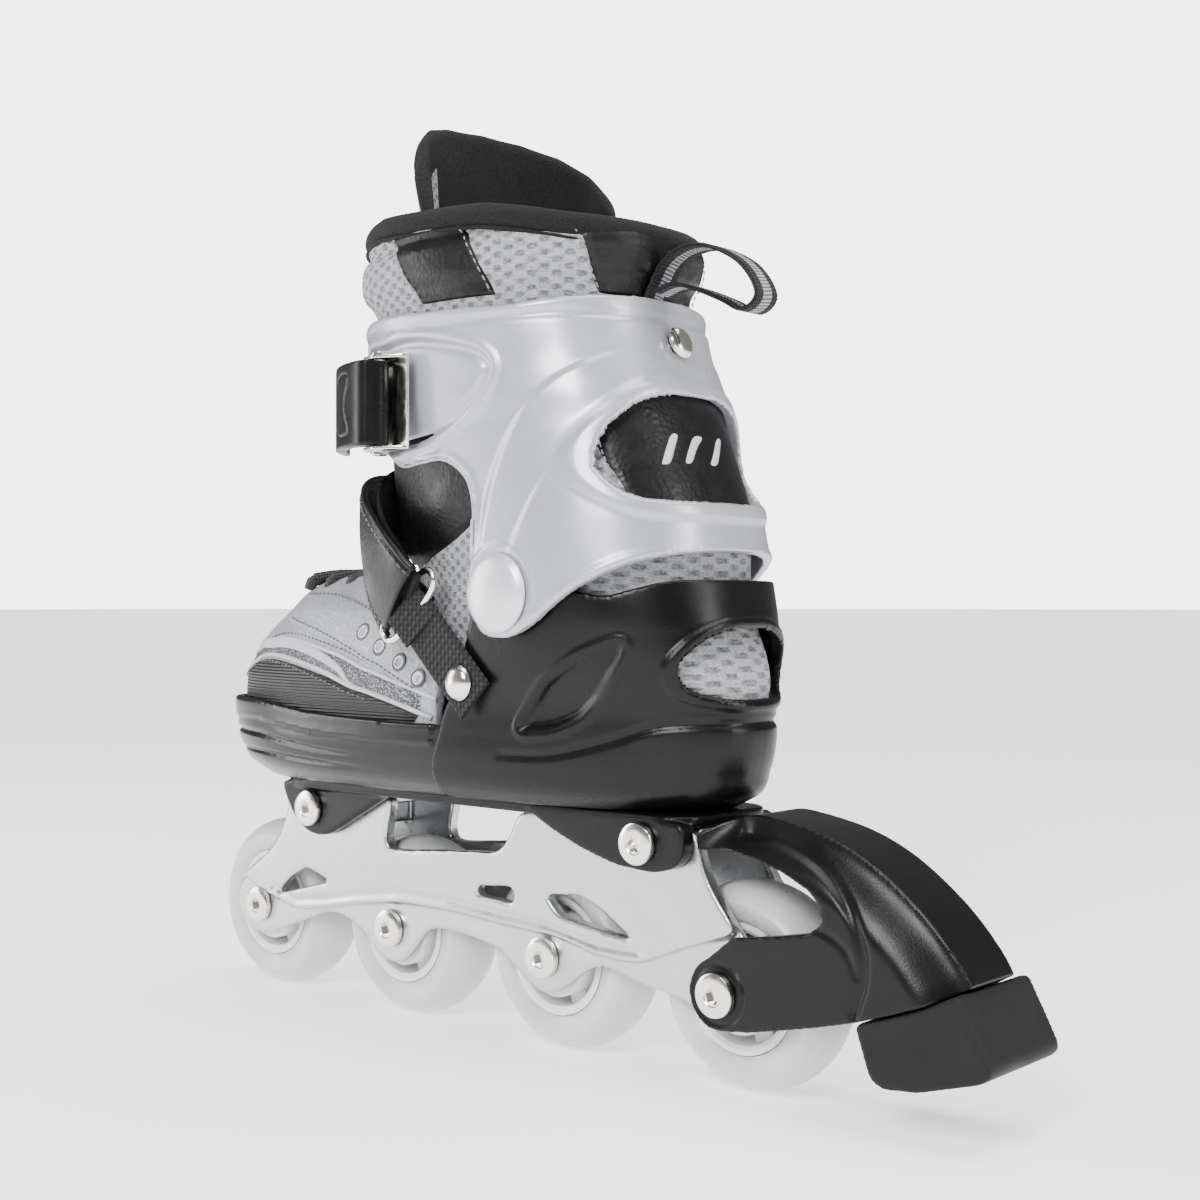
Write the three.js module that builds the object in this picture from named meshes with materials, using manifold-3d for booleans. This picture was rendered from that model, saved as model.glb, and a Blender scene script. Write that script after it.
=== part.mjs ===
// Four-wheel inline skate with a hinged cuff, a sliding toe and a heel brake.
// Millimetres, +X towards the toe, +Y the buckle side, +Z up. The floor is z = 0.
// Shapes are drawn with x = 0 midway between the middle wheels and y = 0 in the wheels' plane.
import * as THREE from 'three';
import { mergeVertices } from 'three/addons/utils/BufferGeometryUtils.js';
import Module from 'manifold-3d';

const wasm = await Module();
wasm.setup();

// Driving dimensions
const FRAME_SHIFT = [29, -4.1, 0];
const WHEEL_RADIUS = 32;
const WHEEL_HALF = 12;
const WHEEL_PITCH = 76;
const WHEEL_SEGMENTS = 24;
const BOLT_SEGMENTS = 12;
const HEAD_DEPTH = 2.4;
const THREAD_STEP = 1.2;
const TIP_LENGTH = 3;
const HUB_RADIUS = 20;
const BEARING_RADIUS = 11;
const BEARING_BORE = 4;
const BEARING_WIDTH = 7;
const SPACER_HALF = 4.8;
const GAP = 0.3;
const RAIL_INNER = 13.4;
const BOSS_OUTER = 16;
const RAIL_OUTER = 18;
const AXLE_X = [1.5, 0.5, -0.5, -1.5].map((step) => step * WHEEL_PITCH);
const BRAKE_AXLE_X = AXLE_X[3];
const EAR_OUTER = 21;
const FRONT_BOLT = [76, 72.7];
const REAR_BOLT = [-86, 74.7];
const FRONT_LOBE = 22;
const REAR_LOBE = 24;
const BASE_BOTTOM = 80;
const BASE_TOP = 83.7;
const SHELL_WALL = 2.6;
const CUFF_WALL = 3;
const CUFF_PIVOT = [-48, 151.6];
const PIVOT_RADIUS = 4;
const BUTTON_CENTRE = [-22, 100];
const BUTTON_RADIUS = 4;
const TOE_TRAVEL = 20;
const LINER_WALL = 6;
const RING_POINTS = 24;

// Materials
const PAINTS = {
  aluminium: [0xc9cbce, 0.35, 0.9],
  steel: [0xb8b4aa, 0.3, 1],
  urethane: [0xeef0ee, 0.45, 0],
  hubWhite: [0xf4f4f2, 0.5, 0],
  blackPlastic: [0x1b1b1e, 0.45, 0],
  blackGloss: [0x101012, 0.2, 0],
  rubber: [0x202022, 0.8, 0],
  silverPlastic: [0xbec0c8, 0.35, 0.1],
  pearl: [0xd8dade, 0.3, 0.2],
  greyMesh: [0x9a9ca0, 0.9, 0],
  blackFabric: [0x1e1e20, 0.9, 0],
  silverLeather: [0xa9abb0, 0.6, 0],
};

const skate = new THREE.Group();
skate.position.set(...FRAME_SHIFT);

// Adds a piece to the skate as a named mesh.
function add(name, geometry, paint) {
  const [color, roughness, metalness] = PAINTS[paint];
  const mesh = new THREE.Mesh(geometry, new THREE.MeshStandardMaterial({ color, roughness, metalness }));
  mesh.name = name;
  skate.add(mesh);
  return mesh;
}

// Turns a geometry into a solid for cutting and joining.
function solid(geometry) {
  const bare = new THREE.BufferGeometry();
  bare.setAttribute('position', geometry.getAttribute('position').clone());
  if (geometry.index) bare.setIndex(geometry.index.clone());
  const merged = mergeVertices(bare, 1e-4);
  const index = merged.index.array;
  const kept = [];
  for (let i = 0; i < index.length; i += 3) {
    const [a, b, c] = [index[i], index[i + 1], index[i + 2]];
    if (a !== b && b !== c && c !== a) kept.push(a, b, c);
  }
  return new wasm.Manifold(new wasm.Mesh({
    numProp: 3,
    vertProperties: new Float32Array(merged.getAttribute('position').array),
    triVerts: new Uint32Array(kept),
  }));
}

// Turns a solid back into a geometry.
function geometryOf(body) {
  const mesh = body.getMesh();
  const geometry = new THREE.BufferGeometry();
  geometry.setAttribute('position', new THREE.BufferAttribute(new Float32Array(mesh.vertProperties), 3));
  geometry.setIndex(new THREE.BufferAttribute(new Uint32Array(mesh.triVerts), 1));
  return geometry;
}

// Joins a list of solids into one.
function union(bodies) {
  return bodies.reduce((sum, body) => sum.add(body));
}

// A box between two corners.
function box(low, high) {
  const size = high.map((value, i) => value - low[i]);
  const geometry = new THREE.BoxGeometry(...size);
  geometry.translate(...high.map((value, i) => (value + low[i]) / 2));
  return geometry;
}

// A side outline of [x, z] points with holes, extruded across the skate from y0 to y1.
function sidePlate(outline, y0, y1, holes = []) {
  const shape = new THREE.Shape(outline.map(([x, z]) => new THREE.Vector2(x, z)));
  shape.holes = holes.map((hole) => new THREE.Path(hole.map(([x, z]) => new THREE.Vector2(x, z))));
  const geometry = new THREE.ExtrudeGeometry(shape, { depth: y1 - y0, bevelEnabled: false });
  geometry.rotateX(Math.PI / 2);
  geometry.translate(0, y1, 0);
  return geometry;
}

// A rear outline of [y, z] points, extruded along the skate from x0 to x1.
function rearPlate(outline, x0, x1) {
  const shape = new THREE.Shape(outline.map(([y, z]) => new THREE.Vector2(y, z)));
  const geometry = new THREE.ExtrudeGeometry(shape, { depth: x1 - x0, bevelEnabled: false });
  geometry.applyMatrix4(new THREE.Matrix4().makeBasis(
    new THREE.Vector3(0, 1, 0), new THREE.Vector3(0, 0, 1), new THREE.Vector3(1, 0, 0)));
  geometry.translate(x0, 0, 0);
  return geometry;
}

// A plan outline of [x, y] points, extruded upwards from z0 to z1.
function planPlate(outline, z0, z1) {
  const shape = new THREE.Shape(outline.map(([x, y]) => new THREE.Vector2(x, y)));
  const geometry = new THREE.ExtrudeGeometry(shape, { depth: z1 - z0, bevelEnabled: false });
  geometry.translate(0, 0, z0);
  return geometry;
}

// A lathe about the Y axis; the profile is a list of [radius, y], and may run either way round.
function lathe(profile, segments) {
  const area = profile.reduce((sum, [radius, y], i) => {
    const [nextRadius, nextY] = profile[(i + 1) % profile.length];
    return sum + radius * nextY - nextRadius * y;
  }, 0);
  const ordered = area > 0 ? profile : [...profile].reverse();
  return new THREE.LatheGeometry(ordered.map(([radius, y]) => new THREE.Vector2(radius, y)), segments);
}

// A lathe across the skate, about the Y axis through [x, z].
function turned(profile, [x, z], segments) {
  return lathe(profile, segments).translate(x, 0, z);
}

// Points on an arc of a circle about [x, z], angles in degrees.
function arc([x, z], radius, from, to, steps) {
  const points = [];
  for (let i = 0; i <= steps; i += 1) {
    const angle = THREE.MathUtils.degToRad(from + ((to - from) * i) / steps);
    points.push([x + radius * Math.cos(angle), z + radius * Math.sin(angle)]);
  }
  return points;
}

// A closed skin through rings of the same number of points, capped at both ends.
function loft(rings) {
  const count = rings[0].length;
  const positions = [];
  const index = [];
  for (const ring of rings) for (const point of ring) positions.push(...point);
  for (let r = 0; r + 1 < rings.length; r += 1) {
    for (let i = 0; i < count; i += 1) {
      const j = (i + 1) % count;
      const [a, b, c, d] = [r * count + i, r * count + j, (r + 1) * count + j, (r + 1) * count + i];
      index.push(a, b, c, a, c, d);
    }
  }
  const centres = [rings[0], rings[rings.length - 1]].map((ring) => {
    const sum = ring.reduce((total, point) => total.map((value, k) => value + point[k]), [0, 0, 0]);
    positions.push(...sum.map((value) => value / count));
    return positions.length / 3 - 1;
  });
  const last = (rings.length - 1) * count;
  for (let i = 0; i < count; i += 1) {
    const j = (i + 1) % count;
    index.push(centres[0], j, i, centres[1], last + i, last + j);
  }
  const geometry = new THREE.BufferGeometry();
  geometry.setAttribute('position', new THREE.Float32BufferAttribute(positions, 3));
  geometry.setIndex(isInsideOut(positions, index) ? index.reverse() : index);
  return geometry;
}

// True where the triangles of a closed skin enclose a negative volume.
function isInsideOut(positions, index) {
  const corner = (i) => new THREE.Vector3().fromArray(positions, 3 * index[i]);
  let volume = 0;
  for (let i = 0; i < index.length; i += 3) {
    volume += corner(i).dot(corner(i + 1).cross(corner(i + 2)));
  }
  return volume < 0;
}

// An egg-shaped level ring: widest at `wide`, reaching from `back` to `front`.
function eggRing({ z, back, front, wide, half }, inset, power) {
  const ring = [];
  for (let i = 0; i < RING_POINTS; i += 1) {
    const angle = (2 * Math.PI * i) / RING_POINTS;
    const reach = Math.cos(angle) > 0 ? front - inset - wide : wide - back - inset;
    const along = Math.sign(Math.cos(angle)) * Math.abs(Math.cos(angle)) ** (2 / power);
    const across = Math.sign(Math.sin(angle)) * Math.abs(Math.sin(angle)) ** (2 / power);
    ring.push([wide + reach * along, (half - inset) * across, z]);
  }
  return ring;
}

// A lofted solid through egg-shaped levels, drawn in by `inset` and cut between two heights.
function eggLoft(levels, inset, power = 2.5, bottom = -Infinity, top = Infinity) {
  const at = (z) => {
    let upper = levels.findIndex((level) => level.z >= z);
    if (upper < 1) upper = upper < 0 ? levels.length - 1 : 1;
    const [a, b] = [levels[upper - 1], levels[upper]];
    const t = (z - a.z) / (b.z - a.z);
    const mixed = {};
    for (const key of Object.keys(a)) mixed[key] = a[key] + (b[key] - a[key]) * t;
    return mixed;
  };
  const low = Math.max(bottom, levels[0].z);
  const high = Math.min(top, levels[levels.length - 1].z);
  const inner = levels.filter((level) => level.z > low + 0.5 && level.z < high - 0.5);
  return loft([at(low), ...inner, at(high)].map((level) => eggRing(level, inset, power)));
}

// A flat band that follows a line of [x, y, z] points, `width` across and `thick` deep.
function band(points, width, thick, steps, normal = null) {
  const curve = new THREE.CatmullRomCurve3(points.map((point) => new THREE.Vector3(...point)));
  const rings = [];
  for (let i = 0; i <= steps; i += 1) {
    const centre = curve.getPoint(i / steps);
    const along = curve.getTangent(i / steps);
    const out = new THREE.Vector3(...(normal ?? [centre.x + 20, centre.y, 0])).normalize();
    const across = new THREE.Vector3().crossVectors(along, out).normalize();
    const up = new THREE.Vector3().crossVectors(across, along).normalize();
    const corners = [[-1, -1], [1, -1], [1, 1], [-1, 1]];
    rings.push(corners.map(([side, face]) => centre.clone()
      .addScaledVector(across, (side * width) / 2)
      .addScaledVector(up, (face * thick) / 2)
      .toArray()));
  }
  return loft(rings);
}

// A round rod that follows a line of [x, y, z] points.
function rod(points, radius, steps, sides) {
  const curve = new THREE.CatmullRomCurve3(points.map((point) => new THREE.Vector3(...point)));
  const section = new THREE.Shape(arc([0, 0], radius, 0, 360 - 360 / sides, sides - 1)
    .map(([x, y]) => new THREE.Vector2(x, y)));
  return new THREE.ExtrudeGeometry(section, { steps, extrudePath: curve, bevelEnabled: false });
}

// ---------------------------------------------------------------- wheels

function makeTyre(x) {
  const profile = [
    [HUB_RADIUS + GAP, -10], [26, -WHEEL_HALF], [30.2, -8], [WHEEL_RADIUS, 0],
    [30.2, 8], [26, WHEEL_HALF], [HUB_RADIUS + GAP, 10], [HUB_RADIUS + GAP, -10],
  ];
  return turned(profile, [x, WHEEL_RADIUS], WHEEL_SEGMENTS);
}

function makeHub(x) {
  const centre = [x, WHEEL_RADIUS];
  const windows = [];
  const count = 5;
  for (let i = 0; i < count; i += 1) {
    const turn = (360 * i) / count;
    const outer = arc(centre, 17.6, turn - 22, turn + 22, 4);
    const inner = arc(centre, 14.2, turn + 20, turn - 20, 3);
    windows.push([...outer, ...inner]);
  }
  const bore = arc(centre, BEARING_RADIUS + GAP, 0, 337.5, 15);
  const rim = arc(centre, HUB_RADIUS, 0, 345, 23);
  return sidePlate(rim, -11.6, 11.6, [bore, ...windows]);
}

function makeBearing(x, side) {
  const [near, far] = [SPACER_HALF + GAP, SPACER_HALF + GAP + BEARING_WIDTH];
  const profile = [
    [BEARING_BORE, near], [BEARING_RADIUS, near], [BEARING_RADIUS, far], [BEARING_BORE, far],
    [BEARING_BORE, near],
  ];
  const bearing = turned(profile, [x, WHEEL_RADIUS], 16);
  if (side < 0) bearing.translate(0, -(near + far), 0);
  return bearing;
}

function makeSpacer(x) {
  const profile = [
    [BEARING_BORE, -SPACER_HALF], [6.2, -SPACER_HALF], [6.2, SPACER_HALF], [BEARING_BORE, SPACER_HALF],
    [BEARING_BORE, -SPACER_HALF],
  ];
  return turned(profile, [x, WHEEL_RADIUS], BOLT_SEGMENTS);
}

// A cap screw across the skate with a hexagon socket; the head's outer face is at `face`.
// Its shank ends at `end`, and a thinner threaded tip goes on into the nut's sleeve.
function makeCrossBolt(centre, { face, headRadius, shankRadius, end }) {
  const tipRadius = shankRadius - THREAD_STEP;
  const profile = [
    [0, end - TIP_LENGTH], [tipRadius, end - TIP_LENGTH], [tipRadius, end], [shankRadius, end],
    [shankRadius, face - HEAD_DEPTH], [headRadius, face - HEAD_DEPTH], [headRadius, face - 0.8],
    [headRadius - 0.8, face], [0, face],
  ];
  const socket = new THREE.CylinderGeometry(2.4, 2.4, 3, 6);
  socket.translate(centre[0], face, centre[1]);
  return geometryOf(solid(turned(profile, centre, BOLT_SEGMENTS)).subtract(solid(socket)));
}

// The sleeve nut on a cross bolt's far end, with the same round head.
function makeCrossNut(centre, { face, headRadius, shankRadius, end }) {
  const bore = shankRadius - THREAD_STEP + GAP;
  const profile = [
    [bore, end - GAP], [shankRadius, end - GAP], [shankRadius, HEAD_DEPTH - face],
    [headRadius, HEAD_DEPTH - face], [headRadius, 0.8 - face], [headRadius - 0.8, -face],
    [bore, -face], [bore, end - GAP],
  ];
  return turned(profile, centre, BOLT_SEGMENTS);
}

function makeWheels() {
  AXLE_X.forEach((x, i) => {
    const number = i + 1;
    const cheek = x === BRAKE_AXLE_X ? EAR_OUTER + GAP : BOSS_OUTER + GAP;
    add(`tyre_${number}`, makeTyre(x), 'urethane');
    add(`hub_${number}`, makeHub(x), 'hubWhite');
    add(`bearing_left_${number}`, makeBearing(x, 1), 'steel');
    add(`bearing_right_${number}`, makeBearing(x, -1), 'steel');
    add(`spacer_${number}`, makeSpacer(x), 'aluminium');
    const centre = [x, WHEEL_RADIUS];
    const axle = { face: cheek + HEAD_DEPTH, headRadius: 6.8, shankRadius: 3.6, end: -cheek + 4 };
    add(`axle_bolt_${number}`, makeCrossBolt(centre, axle), 'steel');
    add(`axle_nut_${number}`, makeCrossNut(centre, axle), 'steel');
  });
}

// ---------------------------------------------------------------- frame

const FRAME_OUTLINE = [
  [114, 20.5], [121, 22], [127, 26], [129.5, 31], [128.5, 37], [124, 42.5], [115, 48], [107, 53],
  [100, 60], [95.5, 69], [94, 79.6], [36, 79.6], [37, 73], [39, 66], [38, 61.5], [34, 60.5],
  [7, 63], [-7, 64], [-18, 64.5], [-24, 71], [-28, 79.6], [-103, 79.6], [-106, 68], [-110, 61],
  [-119, 50], [-126, 42], [-128, 34], [-126, 26], [-121, 21], [-114, 20], [-104, 24], [-96, 27],
  [-80, 29], [-63, 33], [-56, 30], [-47, 23], [-38, 19.5], [-31, 22], [-24, 27], [-17, 32],
  [0, 34.5], [14, 35], [20, 33], [26, 26], [32, 20.5], [38, 19.5], [46, 22], [54, 29],
  [62, 33], [73, 34], [90, 28], [103, 23],
];
const RAIL_OUTLINE = [
  [124, 42.5], [115, 48], [107, 53], [100, 60], [95.5, 69], [94, 79.6], [36, 79.6], [37, 73],
  [39, 66], [38, 61.5], [34, 60.5], [7, 63], [-7, 64], [-18, 64.5], [-24, 71], [-28, 79.6],
  [-103, 79.6], [-106, 68], [-110, 61], [-119, 50], [-100, 44], [-80, 36], [-63, 36], [-47, 39.6],
  [-38, 40.2], [-29, 40.4], [-17, 41], [7, 42.5], [34, 42], [58, 38.5], [73, 35.5], [90, 33], [108, 37],
];
const FRAME_WINDOWS = [
  [[70, 45.5], [84, 49.5], [94, 44.5], [103, 37], [90, 40.5]],
  [[-8, 52.5], [-25, 54], [-26, 48.5], [-8, 49.3]],
  [[-40, 53], [-55, 54.5], [-64, 51.5], [-79, 42.5], [-64, 44.5], [-46, 47]],
];

function makeFrame() {
  const boltHoles = [FRONT_BOLT, REAR_BOLT].map((centre) => arc(centre, 3.2, 0, 315, 7));
  const axleHoles = AXLE_X.map((x) => arc([x, WHEEL_RADIUS], BEARING_BORE, 0, 315, 7));
  const holes = [...boltHoles, ...axleHoles, ...FRAME_WINDOWS];
  const parts = [];
  for (const side of [-1, 1]) {
    const span = (a, b) => (side > 0 ? [a, b] : [-b, -a]);
    parts.push(solid(sidePlate(FRAME_OUTLINE, ...span(RAIL_INNER, BOSS_OUTER), holes)));
    parts.push(solid(sidePlate(RAIL_OUTLINE, ...span(BOSS_OUTER - 1, RAIL_OUTER),
      [...boltHoles, ...FRAME_WINDOWS])));
    for (const x of AXLE_X) {
      const washer = [
        [BEARING_BORE, 12.4], [6.5, 12.4], [6.5, RAIL_INNER + 1], [BEARING_BORE, RAIL_INNER + 1],
        [BEARING_BORE, 12.4],
      ];
      const ring = turned(washer, [x, WHEEL_RADIUS], 8);
      if (side < 0) ring.rotateZ(Math.PI).translate(2 * x, 0, 0);
      parts.push(solid(ring));
    }
  }
  const width = RAIL_INNER + 1;
  parts.push(solid(box([40, -width, 76], [93, width, 79.6])));
  parts.push(solid(box([-102, -width, 76], [-31, width, 79.6])));
  parts.push(solid(box([60, -width, 66], [63, width, 77])));
  parts.push(solid(box([-78, -width, 66], [-75, width, 77])));
  parts.push(solid(box([-3, -width, 42], [3, width, 61])));
  const drills = [FRONT_BOLT, REAR_BOLT].map(
    (centre) => solid(sidePlate(arc(centre, 3.2, 0, 315, 7), -30, 30)),
  );
  return geometryOf(drills.reduce((left, drill) => left.subtract(drill), union(parts)));
}

// ---------------------------------------------------------------- brake

const ARM_OUTLINE = [
  [-104.5, 78.5], [-111, 82.3], [-118, 84.6], [-126, 85], [-147, 81], [-164, 73.5], [-180, 61.5],
  [-190, 50.5], [-194, 44.2], [-185, 39.5], [-173, 35], [-161, 31], [-148, 27.5], [-126, 22.5],
  ...arc([BRAKE_AXLE_X, WHEEL_RADIUS], 11, 258, 428, 8), [-119, 49.5], [-135, 52], [-148, 54.5],
  [-151, 60], [-147, 66], [-137, 70.5], [-126, 73.5], [-115, 74.5], [-105, 74],
];

function makeBrakeArm() {
  const arm = solid(sidePlate(ARM_OUTLINE, -EAR_OUTER, EAR_OUTER));
  const wheelSpace = solid(sidePlate([
    ...arc([BRAKE_AXLE_X, WHEEL_RADIUS], 36, 0, 180, 16), [-150, 0], [-78, 0],
  ], -BOSS_OUTER - GAP, BOSS_OUTER + GAP));
  const frameSpace = solid(box([-129, -RAIL_OUTER - GAP, 15], [-95, RAIL_OUTER + GAP, 66]));
  const inside = solid(sidePlate([
    [-150, 24], [-150, 70], [-168, 64], [-180, 52], [-186, 42], [-172, 37.5], [-160, 33.5],
  ], -EAR_OUTER + 4, EAR_OUTER - 4));
  const earHole = solid(sidePlate(arc([BRAKE_AXLE_X, WHEEL_RADIUS], BEARING_BORE, 0, 330, 11), -30, 30));
  const crown = [-1, 1].map((side) => solid(rearPlate(
    [[side * 12, 90], [side * 30, 90], [side * 30, 62]], -210, -100)));
  let body = arm.subtract(frameSpace).subtract(wheelSpace).subtract(inside).subtract(earHole);
  const floor = solid(sidePlate([
    [-194, 44.2], [-185, 39.5], [-173, 35], [-161, 31], [-161, 34], [-172, 38], [-184, 42.5], [-192, 47],
  ], -EAR_OUTER, EAR_OUTER));
  const screwHole = new THREE.CylinderGeometry(3, 3, 20, 10);
  screwHole.rotateX(Math.PI / 2).translate(-178, 0, 38);
  body = body.add(floor).subtract(solid(screwHole));
  return geometryOf(crown.reduce((left, wedge) => left.subtract(wedge), body));
}

function makeBrakePad() {
  const pad = solid(sidePlate([
    [-161, 30.6], [-166, 16], [-170, 14], [-181, 15], [-201, 21], [-204, 24], [-193.8, 43.7],
    [-185, 39.1], [-173, 34.6],
  ], -20, 20));
  const screwHole = new THREE.CylinderGeometry(3, 3, 60, 10);
  screwHole.rotateX(Math.PI / 2).translate(-178, 0, 40);
  const well = new THREE.CylinderGeometry(6, 6, 20, 12);
  well.rotateX(Math.PI / 2).translate(-178, 0, 14);
  return geometryOf(pad.subtract(solid(screwHole)).subtract(solid(well)));
}

function makeBrakeScrew() {
  const profile = [[0, 20.5], [5.5, 20.5], [5.5, 23.7], [2.6, 23.7], [2.6, 42], [0, 42]];
  return lathe(profile, 12).rotateX(Math.PI / 2).translate(-178, 0, 0);
}

// ---------------------------------------------------------------- hard boot

const FOOT_LEVELS = [
  { z: 84, back: -100, front: 114, wide: 40, half: 34 },
  { z: 88, back: -108, front: 123, wide: 40, half: 38.5 },
  { z: 96, back: -112, front: 130, wide: 40, half: 42 },
  { z: 107, back: -114.5, front: 132, wide: 40, half: 42.5 },
  { z: 115, back: -114, front: 130, wide: 36, half: 42.7 },
  { z: 125, back: -113, front: 100, wide: -20, half: 43 },
  { z: 140, back: -110.5, front: 60, wide: -45, half: 43.6 },
  { z: 158, back: -107.5, front: 40, wide: -45, half: 43.7 },
  { z: 168, back: -106, front: 36, wide: -45, half: 43.7 },
];
const REAR_SHELL_OUTLINE = [
  [-9, 84], [-9, 92], [-10, 96], [-17, 115], [-24, 122], [-29, 136], [-33, 150], [-38, 161],
  [-48, 165], [-58, 163], [-66, 157], [-74, 152], [-84, 150.5], [-92, 153], [-100, 155.5],
  [-125, 156], [-125, 84],
];
const SHELL_WINDOW = [
  [-27, 129], [-21, 137], [-10, 141], [10, 141], [21, 137], [27, 129], [22, 121], [11, 118.5],
  [-11, 118.5], [-22, 121],
];
const CUFF_LEVELS = [
  { z: 134, back: -109, front: 30, wide: -46, half: 47.8 },
  { z: 152, back: -108, front: 30, wide: -45, half: 47.8 },
  { z: 168, back: -104, front: 30, wide: -42, half: 47.6 },
  { z: 180, back: -101.5, front: 31, wide: -38, half: 47.2 },
  { z: 196, back: -95, front: 33, wide: -31, half: 47.2 },
  { z: 215, back: -88, front: 36, wide: -23, half: 47.8 },
  { z: 231, back: -81, front: 39, wide: -17, half: 48.3 },
  { z: 248, back: -76, front: 40, wide: -13, half: 48.6 },
];
const CUFF_OUTLINE = [
  [-40, 139], [-34, 150], [-35, 166], [-35, 181], [-32, 189], [-22, 195], [-8, 194], [3, 193],
  [12, 198], [30, 203], [42, 204], [42, 236], [34, 241], [14, 244], [-48, 242], [-78, 246], [-100, 247],
  [-125, 247], [-125, 167], [-112, 167], [-90, 160], [-75, 152], [-67, 146], [-60, 140.5],
  [-50, 137],
];
const CUFF_WINDOW = [
  [-38, 188], [-34, 202], [-24, 211], [-12, 214], [12, 214], [24, 211], [34, 202], [38, 188],
  [32, 179.5], [18, 179], [-18, 179], [-32, 179.5],
];

// A pair of lobes hanging from the base over a pillar of the frame.
function makeLobes(outline, outer) {
  return [-1, 1].map((side) => {
    const [a, b] = side > 0 ? [RAIL_OUTER + GAP, outer] : [-outer, -RAIL_OUTER - GAP];
    return solid(sidePlate(outline, a, b));
  });
}

function makeSolePlate() {
  const plan = [
    [-103, -18], [-96, -23.8], [80, -23.8], [92, -20], [92, 20], [80, 23.8], [-96, 23.8], [-103, 18],
  ];
  const front = [[94, 82], [89.5, 73], [83, 66], [76, 63], [68, 63], [61, 66], [30, 82]];
  const rear = [
    [-36, 82], [-48, 76], [-61, 71], [-76, 67], [-92, 66], [-100, 68.5], [-103, 73], [-103, 82],
  ];
  const holes = [FRONT_BOLT, REAR_BOLT].map((centre) =>
    solid(sidePlate(arc(centre, 3.2, 0, 315, 7), -40, 40)));
  const body = union([
    solid(planPlate(plan, BASE_BOTTOM, BASE_TOP)),
    ...makeLobes(front, FRONT_LOBE),
    ...makeLobes(rear, REAR_LOBE),
  ]);
  return geometryOf(holes.reduce((left, hole) => left.subtract(hole), body));
}

function makeRearShell() {
  const outer = solid(eggLoft(FOOT_LEVELS, 0)).intersect(solid(sidePlate(REAR_SHELL_OUTLINE, -60, 60)));
  const inner = solid(eggLoft(FOOT_LEVELS, SHELL_WALL, 2.5, 87));
  const window = solid(rearPlate(SHELL_WINDOW, -130, -88));
  const pinHole = solid(sidePlate(arc(CUFF_PIVOT, PIVOT_RADIUS + GAP, 0, 330, 11), -60, 60));
  const strapHoles = solid(sidePlate(arc([-29, 123], 2.3, 0, 315, 7), -60, 60));
  const buttonHole = solid(sidePlate(arc(BUTTON_CENTRE, BUTTON_RADIUS + 0.4, 0, 330, 11), -60, 0));
  return geometryOf([inner, window, pinHole, strapHoles, buttonHole]
    .reduce((left, cut) => left.subtract(cut), outer));
}

function makeToeShell() {
  const drawnIn = SHELL_WALL + 0.5;
  const profile = [
    [-50, 90], [-9, 90], [-6, 84], [150, 84], [150, 113], [90, 113.5], [55, 110], [27, 109],
    [0, 108.5], [-50, 108],
  ];
  const outer = solid(eggLoft(FOOT_LEVELS, drawnIn)).intersect(solid(sidePlate(profile, -60, 60)));
  const inner = solid(eggLoft(FOOT_LEVELS, drawnIn + 2.2, 2.5, 87));
  const [x, z] = BUTTON_CENTRE;
  const reach = BUTTON_RADIUS + 0.4;
  const slot = solid(sidePlate([
    ...arc([x, z], reach, -90, 90, 6), ...arc([x - TOE_TRAVEL, z], reach, 90, 270, 6),
  ], -60, 0));
  return geometryOf(outer.subtract(inner).subtract(slot));
}

// The catch of the size adjustment: a round button through the heel shell on the -Y side. The
// toe shell's wing has a slot behind it, so that the button reaches in wherever the toe stands.
function makeSizeButton() {
  const [outerEnd, innerEnd] = [-44.4, -37.9];
  const profile = [
    [0, outerEnd], [BUTTON_RADIUS - 0.8, outerEnd], [BUTTON_RADIUS, outerEnd + 0.8],
    [BUTTON_RADIUS, innerEnd], [0, innerEnd],
  ];
  return turned(profile, BUTTON_CENTRE, 14);
}

function makeCuff() {
  const outer = solid(eggLoft(CUFF_LEVELS, 0)).intersect(solid(sidePlate(CUFF_OUTLINE, -60, 60)));
  const inner = solid(eggLoft(CUFF_LEVELS, CUFF_WALL));
  const frontGap = solid(box([10, -24, 130], [60, 24, 250]));
  const window = solid(rearPlate(CUFF_WINDOW, -120, -55));
  const pinHole = solid(sidePlate(arc(CUFF_PIVOT, PIVOT_RADIUS + GAP, 0, 330, 11), -60, 60));
  const rivetHole = solid(box([-100, -2.6, 228], [-70, 2.6, 234]));
  return geometryOf([inner, frontGap, window, pinHole, rivetHole]
    .reduce((left, cut) => left.subtract(cut), outer));
}

// The cuff's hinge pin with its domed cap.
function makeCuffPivot(side) {
  const profile = [
    [0, 41.4], [PIVOT_RADIUS, 41.4], [PIVOT_RADIUS, 47.9], [12.5, 47.9], [12.5, 48.8], [10.5, 50.2],
    [6, 51.3], [0, 51.7],
  ];
  const pin = turned(profile, CUFF_PIVOT, 18);
  if (side < 0) pin.translate(-CUFF_PIVOT[0], 0, 0).rotateZ(Math.PI).translate(CUFF_PIVOT[0], 0, 0);
  return pin;
}

function makeCuffRivet() {
  const profile = [[0, -3.2], [2, -3.2], [2, 0.4], [5.6, 0.4], [4.4, 2.2], [0, 3]];
  return lathe(profile, 14)
    .rotateZ(Math.PI / 2)
    .rotateY(THREE.MathUtils.degToRad(18))
    .translate(-82.7, 0, 231.4);
}

// ---------------------------------------------------------------- soft boot

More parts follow.
